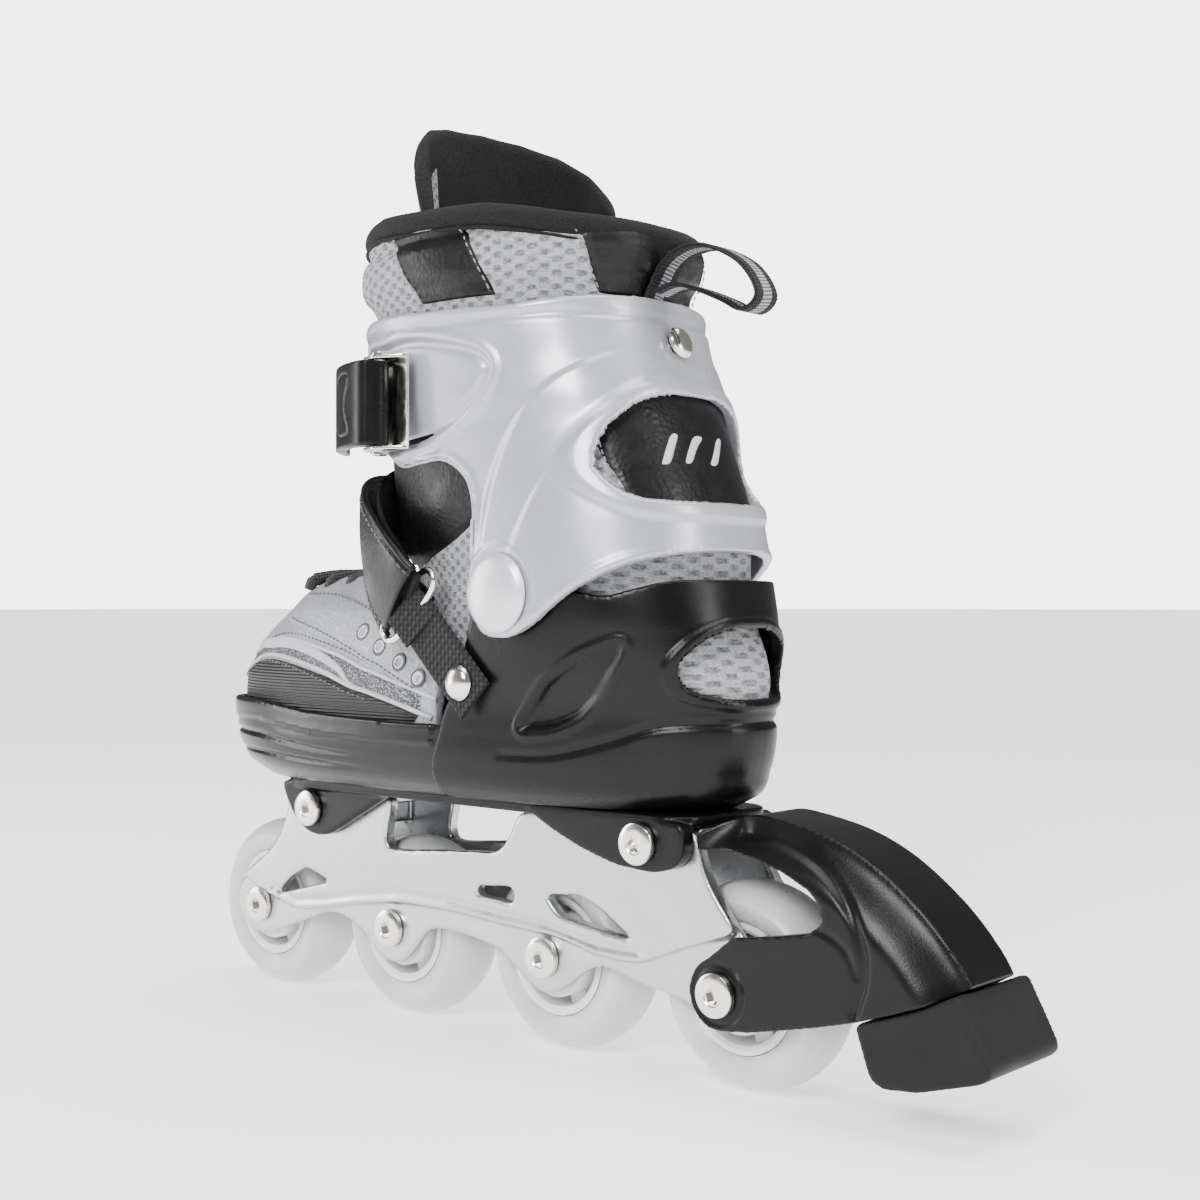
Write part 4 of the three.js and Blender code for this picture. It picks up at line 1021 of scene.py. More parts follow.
REAR_SHELL = [
    (-9, 84), (-9, 92), (-10, 96), (-17, 115), (-24, 122), (-29, 136), (-33, 150), (-38, 161),
    (-48, 165), (-58, 163), (-66, 157), (-74, 152), (-84, 150.5), (-92, 153), (-100, 155.5),
    (-125, 156), (-125, 84),
]
SHELL_WINDOW = [(-27, 129), (-21, 137), (-10, 141), (10, 141), (21, 137), (27, 129), (22, 121),
                (11, 118.5), (-11, 118.5), (-22, 121)]
LEAF = [(-47, 108), (-52, 115), (-62, 124), (-76, 132), (-90, 137), (-88, 131), (-80, 121),
        (-70, 113), (-60, 109)]


def make_rear_shell():
    obj = egg_body("heel_shell", FOOT, 0, 84, 168)
    cut(obj, prism("side", rounded(REAR_SHELL, 3.5), -60, 60), operation="INTERSECT")
    cut(obj, egg_body("room", FOOT, 2.6, 87, 172),
        prism("window", rounded(SHELL_WINDOW, 5), -130, -88, axis="x"),
        prism("pin", circle(CUFF_PIVOT, 4.3), -60, 60),
        prism("rivet", circle(RIVET, 2.3, 20), -60, 60),
        prism("button", circle((-22, 100), 4.4), -60, 0))
    remesh(obj, 0.8, 3)
    window = rounded(SHELL_WINDOW, 5)
    leaf = rounded(LEAF, 4)

    def form(points, normals):
        x, y, _ = points.T
        outward = normals[:, 0] * (x + 45) / 70 + normals[:, 1] * np.sign(y)
        outer = outward > 0.35
        side = ease(np.abs(normals[:, 1]), 0.3, 0.6)
        hollow = outline_distance(points[:, [0, 2]], leaf)
        depth = -1.9 * (1 - ease(hollow, -2.4, 0.6)) * side
        depth += 0.5 * (1 - ease(np.abs(hollow - 1.8), 0, 1.8)) * side
        back = ease(-normals[:, 0], 0.1, 0.4)
        rim = outline_distance(points[:, [1, 2]], window)
        depth += 1.3 * (1 - ease(np.abs(rim - 1.4), 0.6, 2.6)) * back
        belt = spline([(-40, 100), (-60, 101), (-80, 106), (-96, 111), (-118, 112)], 6)
        depth -= 1.0 * (1 - ease(line_distance(points[:, [0, 2]], belt), 0, 2.0))
        inward = -1.9 * (1 - ease(hollow, -3.2, 0.2)) * side
        return np.where(outer, depth, -inward)

    sculpt(obj, form)
    return finish_piece(obj, "black", "chassis", "rear_shell", slot="black_plastic")


TOE_PROFILE = [(-50, 90), (-9, 90), (-6, 84), (150, 84), (150, 113), (90, 113.5), (55, 110),
               (27, 109), (0, 108.5), (-50, 108)]


def make_toe_shell():
    obj = egg_body("toe_cap_shell", FOOT, 3.1, 84, 118)
    cut(obj, prism("side", TOE_PROFILE, -60, 60), operation="INTERSECT")
    slot_room = arc((-22, 100), 4.4, -90, 90, 10) + arc((-42, 100), 4.4, 90, 270, 10)
    cut(obj, egg_body("room", FOOT, 5.3, 87, 122), prism("slot", slot_room, -60, 0))
    remesh(obj, 0.8, 3)

    def form(points, normals):
        x, y, z = points.T
        outward = normals[:, 0] * (x - 30) / 60 + normals[:, 1] * np.sign(y)
        outer = (outward > 0.25) & (x > -8)
        top = np.interp(x, [0, 27, 55, 90, 130], [108.5, 109, 110, 113.5, 113])
        depth = 1.2 * ease(z, top - 7.5, top - 6.8) * (1 - ease(z, top - 0.8, top + 0.2)) * 0.8
        for low in (0.62, 0.28):
            line = 88 + (top - 96) * low + 4 * ease(x, 30, 125) * low
            depth -= 1.1 * (1 - ease(np.abs(z - line), 0, 1.5)) * ease(x, 18, 60)
        return np.where(outer, depth, 0)

    sculpt(obj, form)
    return finish_piece(obj, "gloss", "toe", "toe_shell", slot="gloss_black")


def make_sole_plate():
    plan = [(-103, -18), (-96, -23.8), (80, -23.8), (92, -20), (92, 20), (80, 23.8), (-96, 23.8),
            (-103, 18)]
    front = [(94, 82), (89.5, 73), (83, 66), (76, 63), (68, 63), (61, 66), (30, 82)]
    rear = [(-36, 82), (-48, 76), (-61, 71), (-76, 67), (-92, 66), (-100, 68.5), (-103, 73), (-103, 82)]
    drills = [circle(centre, BASE_BOLT_BORE, 24) for centre in (FRONT_BOLT, REAR_BOLT)]
    parts = [prism("plate", rounded(plan, 4), 80, 83.7, axis="z")]
    for outline, outer, drill in ((front, 22, drills[0]), (rear, 24, drills[1])):
        for side in (-1, 1):
            parts.append(side_prism("lobe", rounded(outline, 4), side, 18.3, outer, [drill]))
    obj = remesh(join("boot_base_plate", parts), 0.7, 3)
    return finish_piece(obj, "black", "chassis", "sole_plate", slot="black_plastic")


def make_size_button():
    profile = [(0.01, -44.4), (3.2, -44.4), (3.8, -44.0), (4, -43.4), (4, -37.9), (0.01, -37.9)]
    obj = turned("size_catch_button", profile, (-22, 100), 48)
    return finish_piece(obj, "silver", "button", "size_button", slot="silver_plastic")


CUFF_SIDE = [
    (-40, 139), (-34, 150), (-35, 166), (-35, 181), (-32, 189), (-22, 195), (-8, 194), (3, 193),
    (12, 198), (30, 203), (42, 204), (42, 236), (34, 241), (14, 244), (-48, 242), (-78, 246),
    (-100, 247), (-125, 247), (-125, 167), (-112, 167), (-90, 160), (-75, 152), (-67, 146),
    (-60, 140.5), (-50, 137),
]
CUFF_WINDOW = [(-38, 188), (-34, 202), (-24, 211), (-12, 214), (12, 214), (24, 211), (34, 202),
               (38, 188), (32, 179.5), (18, 179), (-18, 179), (-32, 179.5)]


BUCKLE_RECESS = [(20, 231), (6, 233), (-8, 234), (-24, 231.5), (-37, 228), (-42, 223), (-38, 215.5),
                 (-27, 208), (-14, 203), (0, 201), (20, 202)]
WAIST_LINE = spline([(145, -36), (159, -37), (173, -39.5), (184, -42.5), (195, -47), (204, -52),
                     (212, -58), (219, -66), (225, -75), (236, -92)], 6)
REAR_LINE = spline([(148, -48.5), (155, -50), (162, -52), (171, -55.5), (181, -60.5), (191, -67),
                    (202, -75.5), (214, -86)], 6)


def make_cuff():
    obj = egg_body("ankle_cuff", CUFF, 0, 134, 248)
    cut(obj, prism("side", rounded(CUFF_SIDE, 5), -60, 60), operation="INTERSECT")
    cut(obj, egg_body("room", CUFF, 3, 132, 250), block("gap", (10, -24, 130), (60, 24, 250)),
        prism("window", rounded(CUFF_WINDOW, 6), -120, -55, axis="x"),
        prism("pin", circle(CUFF_PIVOT, 4.3), -60, 60),
        block("rivet", (-100, -2.6, 228), (-70, 2.6, 234)))
    remesh(obj, 0.8, 3)
    window = rounded(CUFF_WINDOW, 6)
    edge = rounded(CUFF_SIDE, 5)
    recess = spline(BUCKLE_RECESS, 6, closed=True)

    def form(points, normals):
        x, y, z = points.T
        flat = points[:, [0, 2]]
        outer = normals[:, 0] * (x + 35) / 60 + normals[:, 1] * np.sign(y) * 0.9 > 0.3
        side = ease(np.abs(normals[:, 1]), 0.35, 0.7)
        ahead = x - np.interp(z, WAIST_LINE[:, 0], WAIST_LINE[:, 1])
        waist = ease(ahead, -2.5, 3.0) * ease(z, 146, 160) * (1 - ease(z, 222, 238))
        second = x - np.interp(z, REAR_LINE[:, 0], REAR_LINE[:, 1])
        depth = -1.1 * waist * side
        depth -= 0.7 * ease(second, -1.5, 2.0) * ease(z, 158, 170) * (1 - ease(z, 205, 216)) * side
        tab = outline_distance(flat, recess)
        depth -= 1.1 * (1 - ease(np.abs(tab), 0.4, 3.2)) * ease(-tab, -2.2, 0.6) * side
        depth += 0.9 * (1 - ease(np.abs(tab - 2.6), 0.2, 3.0)) * side
        depth -= 0.6 * (1 - ease(np.abs(z - 237.5 + 0.02 * x), 0, 2.2)) * (1 - ease(x, -12, 2))
        rim = outline_distance(points[:, [1, 2]], window)
        depth += 1.2 * (1 - ease(np.abs(rim - 2.2), 0.8, 4.5)) * ease(-normals[:, 0], -0.1, 0.25)
        lip = outline_distance(flat, edge)
        depth += 0.5 * (1 - ease(np.abs(lip + 1.6), 0.2, 2.4)) * side
        reach = np.linalg.norm(flat - np.array(CUFF_PIVOT), axis=1)
        depth += 0.5 * (1 - ease(np.abs(reach - 14.6), 0.2, 1.8)) * side
        return np.where(outer, depth, 0)

    sculpt(obj, form)
    return finish_piece(obj, "silver", "cuff", "cuff", slot="silver_plastic")


def make_cuff_pivot(side):
    name = "left" if side > 0 else "right"
    profile = [(0.01, 41.4), (4, 41.4), (4, 47.9), (12.2, 47.9), (12.6, 48.3), (12.4, 48.9)]
    profile += dome(12.0, 48.9, 2.8, 12, 88, 12)
    profile = [(r, side * y) for r, y in profile] + [(0.01, side * 51.7)]
    obj = turned(f"cuff_hinge_cap_{name}", profile, CUFF_PIVOT, 72)
    return finish_piece(obj, "pearl", "chassis", f"cuff_pivot_{name}", slot="pearl_cap")


# ---------------------------------------------------------------- soft boot


def bend(obj, look):
    """Fabric round the ankle: paints it and bakes its transform into its mesh."""
    dress(obj, look)
    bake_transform(obj)
    return obj


def give(obj, look):
    """The instep strap's pieces: paints them and bakes their transform into their mesh."""
    dress(obj, look)
    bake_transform(obj)
    return obj


BOOT = [
    (88, -104, 118, 40, 35), (96, -109, 122, 40, 38.6), (107, -111.2, 124, 40, 39.4),
    (115, -111, 120, 36, 39.7), (125, -110, 90, -20, 40), (134, -106.5, 50, -40, 40.3),
    (142, -101.5, 27, -45, 40.6), (168, -99.6, 26, -42, 40.8), (180, -97.4, 27, -38, 43),
    (196, -91, 29, -31, 43.6), (215, -84, 32, -23, 44.2), (231, -77, 35, -17, 44.7),
    (247, -72, 36.4, -13, 45), (253, -72.5, 43, -14, 45), (266, -76, 44, -15, 44.4),
    (280, -75, 43, -15, 43),
]
TOE = [
    (88.5, -100, 114, 40, 32), (96, -100, 122, 40, 35.8), (112, -100, 123.5, 38, 36),
    (122, -100, 125, 34, 35), (134, -100, 120, 24, 31), (146, -100, 106, 16, 26.5),
    (154, -100, 95, 14, 20.5), (159, -100, 82, 12, 12),
]


def on_skin(levels, theta, z, lift=0.0):
    """Points and outward normals on an egg-shaped skin, theta in radians from the toe side."""
    theta, z = np.atleast_1d(np.asarray(theta, float)), np.atleast_1d(np.asarray(z, float))
    source = np.asarray(levels, float)

    def at(angle, height):
        height = np.clip(height, source[0, 0], source[-1, 0])
        back, front, wide, half = (np.interp(height, source[:, 0], source[:, k]) for k in range(1, 5))
        c, s = np.cos(angle), np.sin(angle)
        reach = np.where(c > 0, front - wide, wide - back)
        return np.stack([wide + reach * np.sign(c) * np.abs(c) ** (2 / EGG_POWER),
                         half * np.sign(s) * np.abs(s) ** (2 / EGG_POWER), height + 0 * angle], axis=-1)

    around = at(theta + 0.02, z) - at(theta - 0.02, z)
    upward = at(theta, z + 1.5) - at(theta, z - 1.5)
    normal = np.cross(around, upward)
    normal /= np.linalg.norm(normal, axis=-1)[..., None]
    return at(theta, z) + normal * np.asarray(lift)[..., None], normal


def theta_at(levels, x, z):
    """The skin's angle at a given x and height, on the left side."""
    source = np.asarray(levels, float)
    back, front, wide = (np.interp(z, source[:, 0], source[:, k]) for k in (1, 2, 3))
    ahead = np.clip((x - wide) / (front - wide), 0, 1) ** (EGG_POWER / 2)
    behind = np.clip((wide - x) / (wide - back), 0, 1) ** (EGG_POWER / 2)
    return np.where(x > wide, np.arccos(ahead), np.pi - np.arccos(behind))


def by_x(levels, line, side=1):
    """Turns a line of (x, z) pairs into (theta, z) pairs on one side of the skin."""
    line = np.asarray(line, float)
    theta = theta_at(levels, line[:, 0], line[:, 1])
    return np.column_stack([side * theta, line[:, 1]])


def by_degrees(line):
    return [(math.radians(theta), z) for theta, z in line]


def even(line, count):
    """A smooth line through (theta, z) pairs, in evenly spaced steps."""
    dense = spline(line, 12)
    lengths = np.concatenate([[0], np.cumsum(np.hypot(np.diff(dense[:, 0]) * 45, np.diff(dense[:, 1])))])
    wanted = np.linspace(0, lengths[-1], count)
    return np.stack([np.interp(wanted, lengths, dense[:, k]) for k in range(2)], axis=1)


def collar_swell(theta, z):
    """How far the padding pushes the collar's skin out."""
    tucks = 0.5 * np.sin(theta * 9 + z * 0.05) * ease(z, 248, 258)
    roll = 1.6 * ease(z, 250, 256) * (1 - ease(z, 262, 268))
    return roll + tucks - 0.9 * (1 - ease(np.abs(z - 267), 0, 3))


def flat_skin(theta, _):
    return 0 * theta


def patch(name, levels, first, last, rows, columns, lift, puff, swell=flat_skin):
    """A panel lying on the skin between two lines, with its edges turned under."""
    first, last = even(first, columns), even(last, columns)
    grid_rows = []
    for r in range(rows):
        t = r / (rows - 1)
        line = first * (1 - t) + last * t
        edge = min(t, 1 - t) * 2
        ends = np.minimum(np.linspace(0, 1, columns), np.linspace(1, 0, columns)) * 2
        inner = np.minimum(ease(edge, 0, 0.16), ease(ends, 0, 0.06))
        height = lift * (inner * 1.7 - 0.7) + puff * ease(edge, 0, 0.9) * ease(ends, 0, 0.5)
        height = height + swell(line[:, 0], line[:, 1])
        grid_rows.append(on_skin(levels, line[:, 0], line[:, 1], height)[0])
    return grid(name, grid_rows, around=False)


def seam(name, levels, line, lift, swell=flat_skin):
    """Stitching on the skin, in eight short runs that each lie flat on it."""
    line = even(line, 92)[6:86]
    points, normals = on_skin(levels, line[:, 0], line[:, 1], lift + swell(line[:, 0], line[:, 1]))
    pieces = np.array_split(np.arange(80), 8)
    parts = []
    for piece in pieces:
        part = np.append(piece, piece[-1] + 1) if piece[-1] < 79 else piece
        parts.append(stitches(name, points[part], 2.8, 1.9, 0.3, normals[part].mean(axis=0)))
    return join(name, parts)


def piping(name, levels, line, radius, lift):
    line = even(line, 90)
    points, normals = on_skin(levels, line[:, 0], line[:, 1], np.full(90, lift))
    return cord(name, points, radius, 10, out=lambda _: normals)


def shifted(line, amount):
    """A (theta, z) line moved up or down by some millimetres."""
    return [(theta, z + amount) for theta, z in line]


def make_heel_skin():
    """The padded boot from heel to collar."""
    obj = egg_body("padded_boot", BOOT, 0, 90, 280, step=2.5)
    side = [(-130, 86), (-47, 86), (-47, 130), (-6, 134), (12, 150), (26, 165), (60, 180), (60, 256),
            (40, 277), (10, 279), (-30, 276), (-60, 270), (-80, 267), (-130, 264)]
    cut(obj, prism("side", rounded(side, 4), -60, 60), operation="INTERSECT")
    cut(obj, egg_body("room", BOOT, 5.6, 95, 285, step=2.5), block("throat", (12, -19, 146), (70, 19, 300)))
    remesh(obj, 1.3, 6)

    def stuffed(points, normals):
        x, y, z = points.T
        theta = np.mod(np.arctan2(y, x + 15), 2 * np.pi)
        outer = (normals[:, 0] * (x + 15) + normals[:, 1] * y) > 0
        ankle = 0.3 * np.sin(z * 0.22 + theta * 2) * (1 - ease(z, 225, 245))
        ankle -= 2.6 * (1 - ease(z, 138, 146)) * ease(np.abs(y), 22, 30)
        return np.where(outer, collar_swell(theta, z) + ankle, 0.3 * np.sin(theta * 7 + z * 0.11))

    sculpt(obj, stuffed)
    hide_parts("boot_foot", "boot_leg")
    bend(obj, "mesh")


def top_edge(lift=-2.8, drop=0.0):
    """The collar's rim line, highest beside the tongue."""
    count = 120
    theta = np.radians(np.linspace(26, 334, count))
    x = BOOT[-2][3] + 59 * np.cos(theta)
    z = np.interp(x, [-80, -60, -30, 10, 40], [264.5, 267, 272.5, 275.5, 273.5]) - drop
    return on_skin(BOOT, theta, z, np.full(count, lift))


def make_collar():
    points, normals = top_edge()
    roll = cord("collar_binding", points, 4.6, 20, out=lambda _: normals)
    points_low, normals_low = top_edge(drop=4.2, lift=0.6)
    welt = cord("collar_welt", points_low, 0.7, 8, out=lambda _: normals_low)
    roll = join("collar_binding", [roll, welt])
    shade_smooth(roll)
    finish_piece(roll, "textile", "cuff", slot="black_textile")
    slants = [((73, 270), (80, 260), (88, 246)), ((98, 271), (106, 260), (115, 246))]
    back = [((138, 268), (146, 258), (154, 246)), ((222, 268), (214, 258), (206, 246))]
    mirrored = [tuple((360 - theta, z) for theta, z in line) for line in slants[::-1]]
    for name, pair in (("left", slants), ("right", mirrored), ("back", back)):
        first, last = (by_degrees(line) for line in pair)
        panel = patch(f"collar_{name}_panel", BOOT, first, last, 40, 40, 1.0, 0.8, collar_swell)
        finish_piece(panel, "black_leather", "cuff", slot="black_leather")
        seams = []
        for line, inward in ((first, 0.03), (last, -0.03)):
            moved = [(t + inward, z) for t, z in line]
            seams.append(seam("collar_seam", BOOT, moved, 1.5, swell=collar_swell))
        finish_piece(join(f"collar_{name}_stitching", seams), "thread", "cuff")


def make_ankle_lining():
    for name, side in (("left", 1), ("right", -1)):
        low = by_x(BOOT, [(24, 163), (8, 161.5), (-12, 164), (-32, 174), (-44, 184)], side)
        high = by_x(BOOT, [(24, 206), (5, 206), (-14, 206), (-32, 205), (-44, 200)], side)
        panel = patch(f"ankle_lining_{name}", BOOT, low, high, 40, 50, 1.1, 1.2)
        bend(panel, "black_leather")


def make_heel_patch():
    """The leather patch in the cuff's rear window, with three plain slanted bars."""
    left = by_degrees([(138, 216), (135, 204), (134, 192), (138, 176)])
    right = [(2 * math.pi - theta, z) for theta, z in left]
    panel = patch("heel_patch", BOOT, left, right, 60, 40, 0.8, 0.6)
    finish_piece(panel, "black_leather", "cuff", slot="black_leather")
    seams = [seam("seam", BOOT, [(t + turn, z) for t, z in line], 1.0)
             for line, turn in ((left, 0.05), (right, -0.05))]
    finish_piece(join("heel_patch_stitching", seams), "thread", "cuff")
    bars = []
    for start in (158, 168, 178):
        lower = by_degrees([(start, 190), (start + 5, 196), (start + 10, 202)])
        upper = by_degrees([(start + 5.5, 190), (start + 10.5, 196), (start + 15.5, 202)])
        bars.append(patch("bar", BOOT, lower, upper, 8, 16, 1.15, 0.6))
    finish_piece(join("heel_patch_bars", bars), "piping", "cuff")


def make_toe_upper():
    obj = egg_body("toe_upper_skin", TOE, 0, 89, 159, step=2.0)
    side = [(-6, 86), (140, 86), (140, 140), (122, 160), (0, 160), (-6, 140)]
    cut(obj, prism("side", rounded(side, 5), -60, 60), operation="INTERSECT")
    cut(obj, egg_body("room", TOE, 4.6, 94, 152, step=2.5), block("back", (-12, -26, 92), (2, 26, 146)),
        block("throat", (-10, -9, 140), (58, 9, 170)))
    remesh(obj, 1.1, 5)

    def formed(points, _):
        x, y, z = points.T
        outer = z > 100
        folds = 0.35 * np.sin(x * 0.16 + y * 0.09) * ease(z, 125, 150)
        return np.where(outer, folds, 0)

    sculpt(obj, formed)
    finish_piece(obj, "grey_leather", "toe", "toe_upper", slot="silver_leather")


PANEL_TOP = [(-5, 110), (20, 116), (50, 123), (78, 128), (98, 128.5), (112, 124)]
PANEL_TIP = 115.5


def wrap_toe(line, tip):
    """A line from the left side round the toe's tip to the right side."""
    left = [tuple(pair) for pair in by_x(TOE, line)]
    right = [(-theta, z) for theta, z in reversed(left)]
    return [*left, (0.0, tip), *right]


def make_toe_panels():
    top = wrap_toe(PANEL_TOP, PANEL_TIP + 5)
    foot = wrap_toe([(-5, 100), (20, 101), (50, 102), (78, 103), (98, 103), (114, 103)], 103)
    panel = patch("toe_side_panel", TOE, foot, top, 26, 200, 0.9, 0.6)
    finish_piece(panel, "ribbed", "toe")
    strip_top = shifted(top, 6.5)
    strip = patch("toe_glitter_strip", TOE, shifted(top, -0.6), strip_top, 10, 200, 0.5, 0.2)
    finish_piece(strip, "glitter", "toe")
    tubes = [piping("pipe", TOE, shifted(top, 0.2), 0.9, 0.6), piping("pipe", TOE, strip_top, 0.8, 0.4)]
    finish_piece(join("toe_piping", tubes), "piping", "toe")
    seams = [seam("seam", TOE, shifted(top, -2.2), 1.45), seam("seam", TOE, shifted(strip_top, 2.0), 0.3)]
    finish_piece(join("toe_stitching", seams), "dark_thread", "toe")


def make_eyestays():
    for name, side in (("left", 1), ("right", -1)):
        upper = by_x(TOE, [(86, 153), (60, 152.5), (34, 147), (12, 139), (-4, 133)], side)
        lower = by_x(TOE, [(92, 142), (66, 137), (40, 130), (16, 122), (-4, 115.5)], side)
        panel = patch(f"eyestay_{name}", TOE, lower, upper, 18, 110, 1.0, 0.5)
        finish_piece(panel, "grey_leather", "toe", slot="silver_leather")
        inner = [[(t, z + 1.6) for t, z in lower], [(t, z - 1.6) for t, z in upper]]
        seams = [seam("seam", TOE, line, 1.5) for line in inner]
        finish_piece(join(f"eyestay_{name}_stitching", seams), "dark_thread", "toe")
        rings, discs = [], []
        for x, z in ((36, 138), (25, 133), (13, 128), (2, 123)):
            (theta, _), = by_x(TOE, [(x, z)], side)
            centre, normal = on_skin(TOE, theta, z, 1.3)
            rings.append(eyelet(centre[0], normal[0], 2.9, 0.5))
            discs.append(eyelet(centre[0] + normal[0] * 0.25, normal[0], 2.0, 0.35))
        finish_piece(join(f"vent_rings_{name}", rings), "dark_thread", "toe")
        finish_piece(join(f"vent_centres_{name}", discs), "pearl", "toe")
        line = by_x(TOE, [(112, 133), (100, 131), (82, 131.5), (64, 129), (46, 124), (30, 118)], side)
        far = by_x(TOE, [(112, 134.5), (100, 135.5), (82, 136), (64, 133), (46, 127), (30, 119)], side)
        sweep = patch(f"curved_stripe_{name}", TOE, line, far, 10, 80, 0.8, 0.3)
        finish_piece(sweep, "piping", "toe")


def eyelet(centre, normal, radius, wire):
    """A rolled ring with a dished middle."""
    normal = Vector(normal)
    side = normal.orthogonal().normalized()
    across = normal.cross(side)
    rows = []
    profile = [(radius + wire * math.cos(a), wire * math.sin(a)) for a in np.linspace(0, 2 * math.pi, 12)]
    profile += [(radius - wire, -0.4), (0.3, -0.9)]
    for reach, height in profile:
        rows.append([np.array(centre) + reach * (math.cos(a) * np.array(side) + math.sin(a) * np.array(
            across)) + height * np.array(normal) for a in np.linspace(0, 2 * math.pi, 24, endpoint=False)])
    return grid("ring", rows)


TONGUE_TOP = [  # degrees round the shin, height
    (-122, 283), (-114, 292), (-98, 302), (-75, 311), (-50, 317), (-25, 320), (0, 320),
    (18, 317.5), (33, 311), (46, 301), (56, 289), (64, 276),
]
TONGUE_FOOT = 200


def make_tongue():
    """The padded tongue, wrapped round the shin, with a mesh strip along its left edge."""
    count = 84
    angles = np.linspace(64, -122, count)
    heights = np.interp(angles, *zip(*TONGUE_TOP))
    rows = []
    for angle, top in zip(angles, heights):
        edge = min(angle + 122, 64 - angle)
        thick = 0.6 + 3.6 * ease(edge, 0, 9)
        turn = math.radians(angle)
        ring = []
        rises = np.linspace(0, 1, 26)
        walls = TONGUE_FOOT + (top - thick - TONGUE_FOOT) * rises
        outline = [(z, 1) for z in walls]
        outline += [(top - thick + thick * math.sin(a), math.cos(a)) for a in np.linspace(0.3, 2.84, 8)]
        outline += [(z, -1) for z in walls[::-1]]
        for z, face in outline:
            swell = 1 + 0.16 * math.sin(z * 0.17 + angle * 0.02) + 0.1 * math.sin(angle * 0.16)
            seam_dip = 0.45 if abs(angle - 43) < 1.4 else 1.0
            lean = 1.5 * ease(z, 200, 240) + 5.5 * ease(z, 262, 316)
            radius = 34.6 + thick * 0.62 * face * swell * seam_dip
            ring.append((-16 + lean + radius * math.cos(turn), radius * 0.93 * math.sin(turn), z))
        rows.append(ring)
    obj = grid("padded_tongue", rows, caps=True)
    finish_piece(obj, "textile", "cuff", "tongue", slot="black_textile")
    obj.data.materials.append(MATERIALS["mesh"])
    width = len(rows[0])
    for number, face in enumerate(obj.data.polygons):
        column, place_round = divmod(number, width)
        beside = column < count - 1 and 22 < angles[min(column, count - 1)] < 56
        face.material_index = 1 if beside and not 23 < place_round < 36 else 0
    modify(obj, "SUBSURF", levels=1, render_levels=1)


def make_insole():
    heights = [96.2, 96.6, 97.4, 98.8, 99.6, 100.0]
    insets = [1.2, 0.4, 0, 0, 0.5, 1.6]
    rings = [egg((z, -100, 98, 40, 29), inset) for z, inset in zip(heights, insets)]
    obj = grid("foam_insole", rings, caps=True)
    modify(obj, "TRIANGULATE")
    finish_piece(obj, "textile", "chassis", "insole", slot="black_textile")


def make_lace():
    parts = []
    for number, x in enumerate((87, 76, 65)):
        span = np.linspace(-1, 1, 25)
        bulge = 158.2 - 2.2 * span ** 2 + 0.5 * math.cos(number)
        line = np.column_stack([x + 0.8 * np.sin(span * 2 + number), 13 * span, bulge])
        line[0, 2] -= 2.5
        line[-1, 2] -= 2.5
        parts.append(cord("lace", line, 2.3, 12))
    for start, end in ((87, 76), (76, 65)):
        for side in (-1, 1):
            span = np.linspace(0, 1, 21)
            line = np.column_stack([start + (end - start) * span, side * (11.5 - 23 * span),
                                    157.6 + 1.5 * np.sin(math.pi * span) + (0.8 if side > 0 else 0)])
            parts.append(cord("lace", line, 1.7, 12))
    obj = shade_smooth(join("shoe_lace", parts))
    finish_piece(obj, "lace", "toe", "lace")


# ---------------------------------------------------------------- straps and buckle

INSTEP = [
    (-4.5, 49.2, 148.5), (3, 49, 155.5), (13, 46, 164), (24, 39, 171.5), (34, 27, 177), (41, 13, 179.5),
    (43, 0, 179.5), (41, -15, 177), (33, -30, 170), (20, -42, 159.5), (3, -47.6, 146),
    (-14, -47.8, 134), (-32, -46.8, 120),
]
INSTEP_BACK = [(-6, 47.4, 147.6), (3, 45, 157), (12, 42, 166), (20, 36, 174), (26, 27, 180), (28, 17, 184)]
LADDER = [
    (24, 40.5, 216), (34, 33.5, 217), (44, 23, 218), (51, 11, 218.5), (53, 0, 218.5), (51, -14, 218),
    (45, -29, 217), (32, -42, 215), (16, -48.4, 212), (-8, -50.4, 209),
]
PULL = [
    (-73.5, 2, 244), (-75.5, 1, 250), (-79.5, 0, 257), (-87, 0, 260.5), (-97, 0, 260), (-110, 0, 253),
    (-116.5, 0, 243), (-111, 0, 238.5), (-103, 1, 242.5), (-94, 2, 246.5), (-86, 3, 248.8), (-79, 4, 247),
]
WEBBING = [(-35, 44.6, 117.5), (-29, 44.9, 123.5), (-20, 45.3, 132.5), (-13, 45.9, 140),
           (-8.5, 46.1, 145)]
BUCKLE_PIVOT = (2, 52.6, 214)
BASE_TURN, LEVER_TURN = -16, -24


def edge_line(line, width, height, share):
    """A line along a band near one edge, a little above its face."""
    line, side, face = frames_along(line)
    return line + side * width / 2 * share + face * height


def make_instep_strap():
    line = spline(INSTEP, 8)
    widths = np.interp(line[:, 1], [-48, -40, 0, 40, 49], [26, 27, 28, 31, 31])
    obj = strap("padded_instep_strap", line, widths, 2.6, crown=1.3)
    modify(obj, "SUBSURF", levels=1, render_levels=1)
    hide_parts("instep_strap")
    give(obj, "gloss_leather")
    rows = []
    for share in (-0.84, 0.84):
        raised = edge_line(line, widths[:, None], 1.3 + 1.3 * (1 - share * share) + 0.1, share)
        rows.append(stitches("stitch", raised, 3.2, 2.2, 0.35))
    give(join("instep_strap_stitching", rows), "dark_thread")
    edges = [cord("edge", edge_line(line, widths[:, None], 0.1, share), 1.3, 10) for share in (-0.97, 0.97)]
    give(shade_smooth(join("instep_strap_rolled_edges", edges)), "gloss_leather")
    back = strap("instep_strap_hook_tape", spline(INSTEP_BACK, 8), 27, 1.5)
    give(back, "textile")


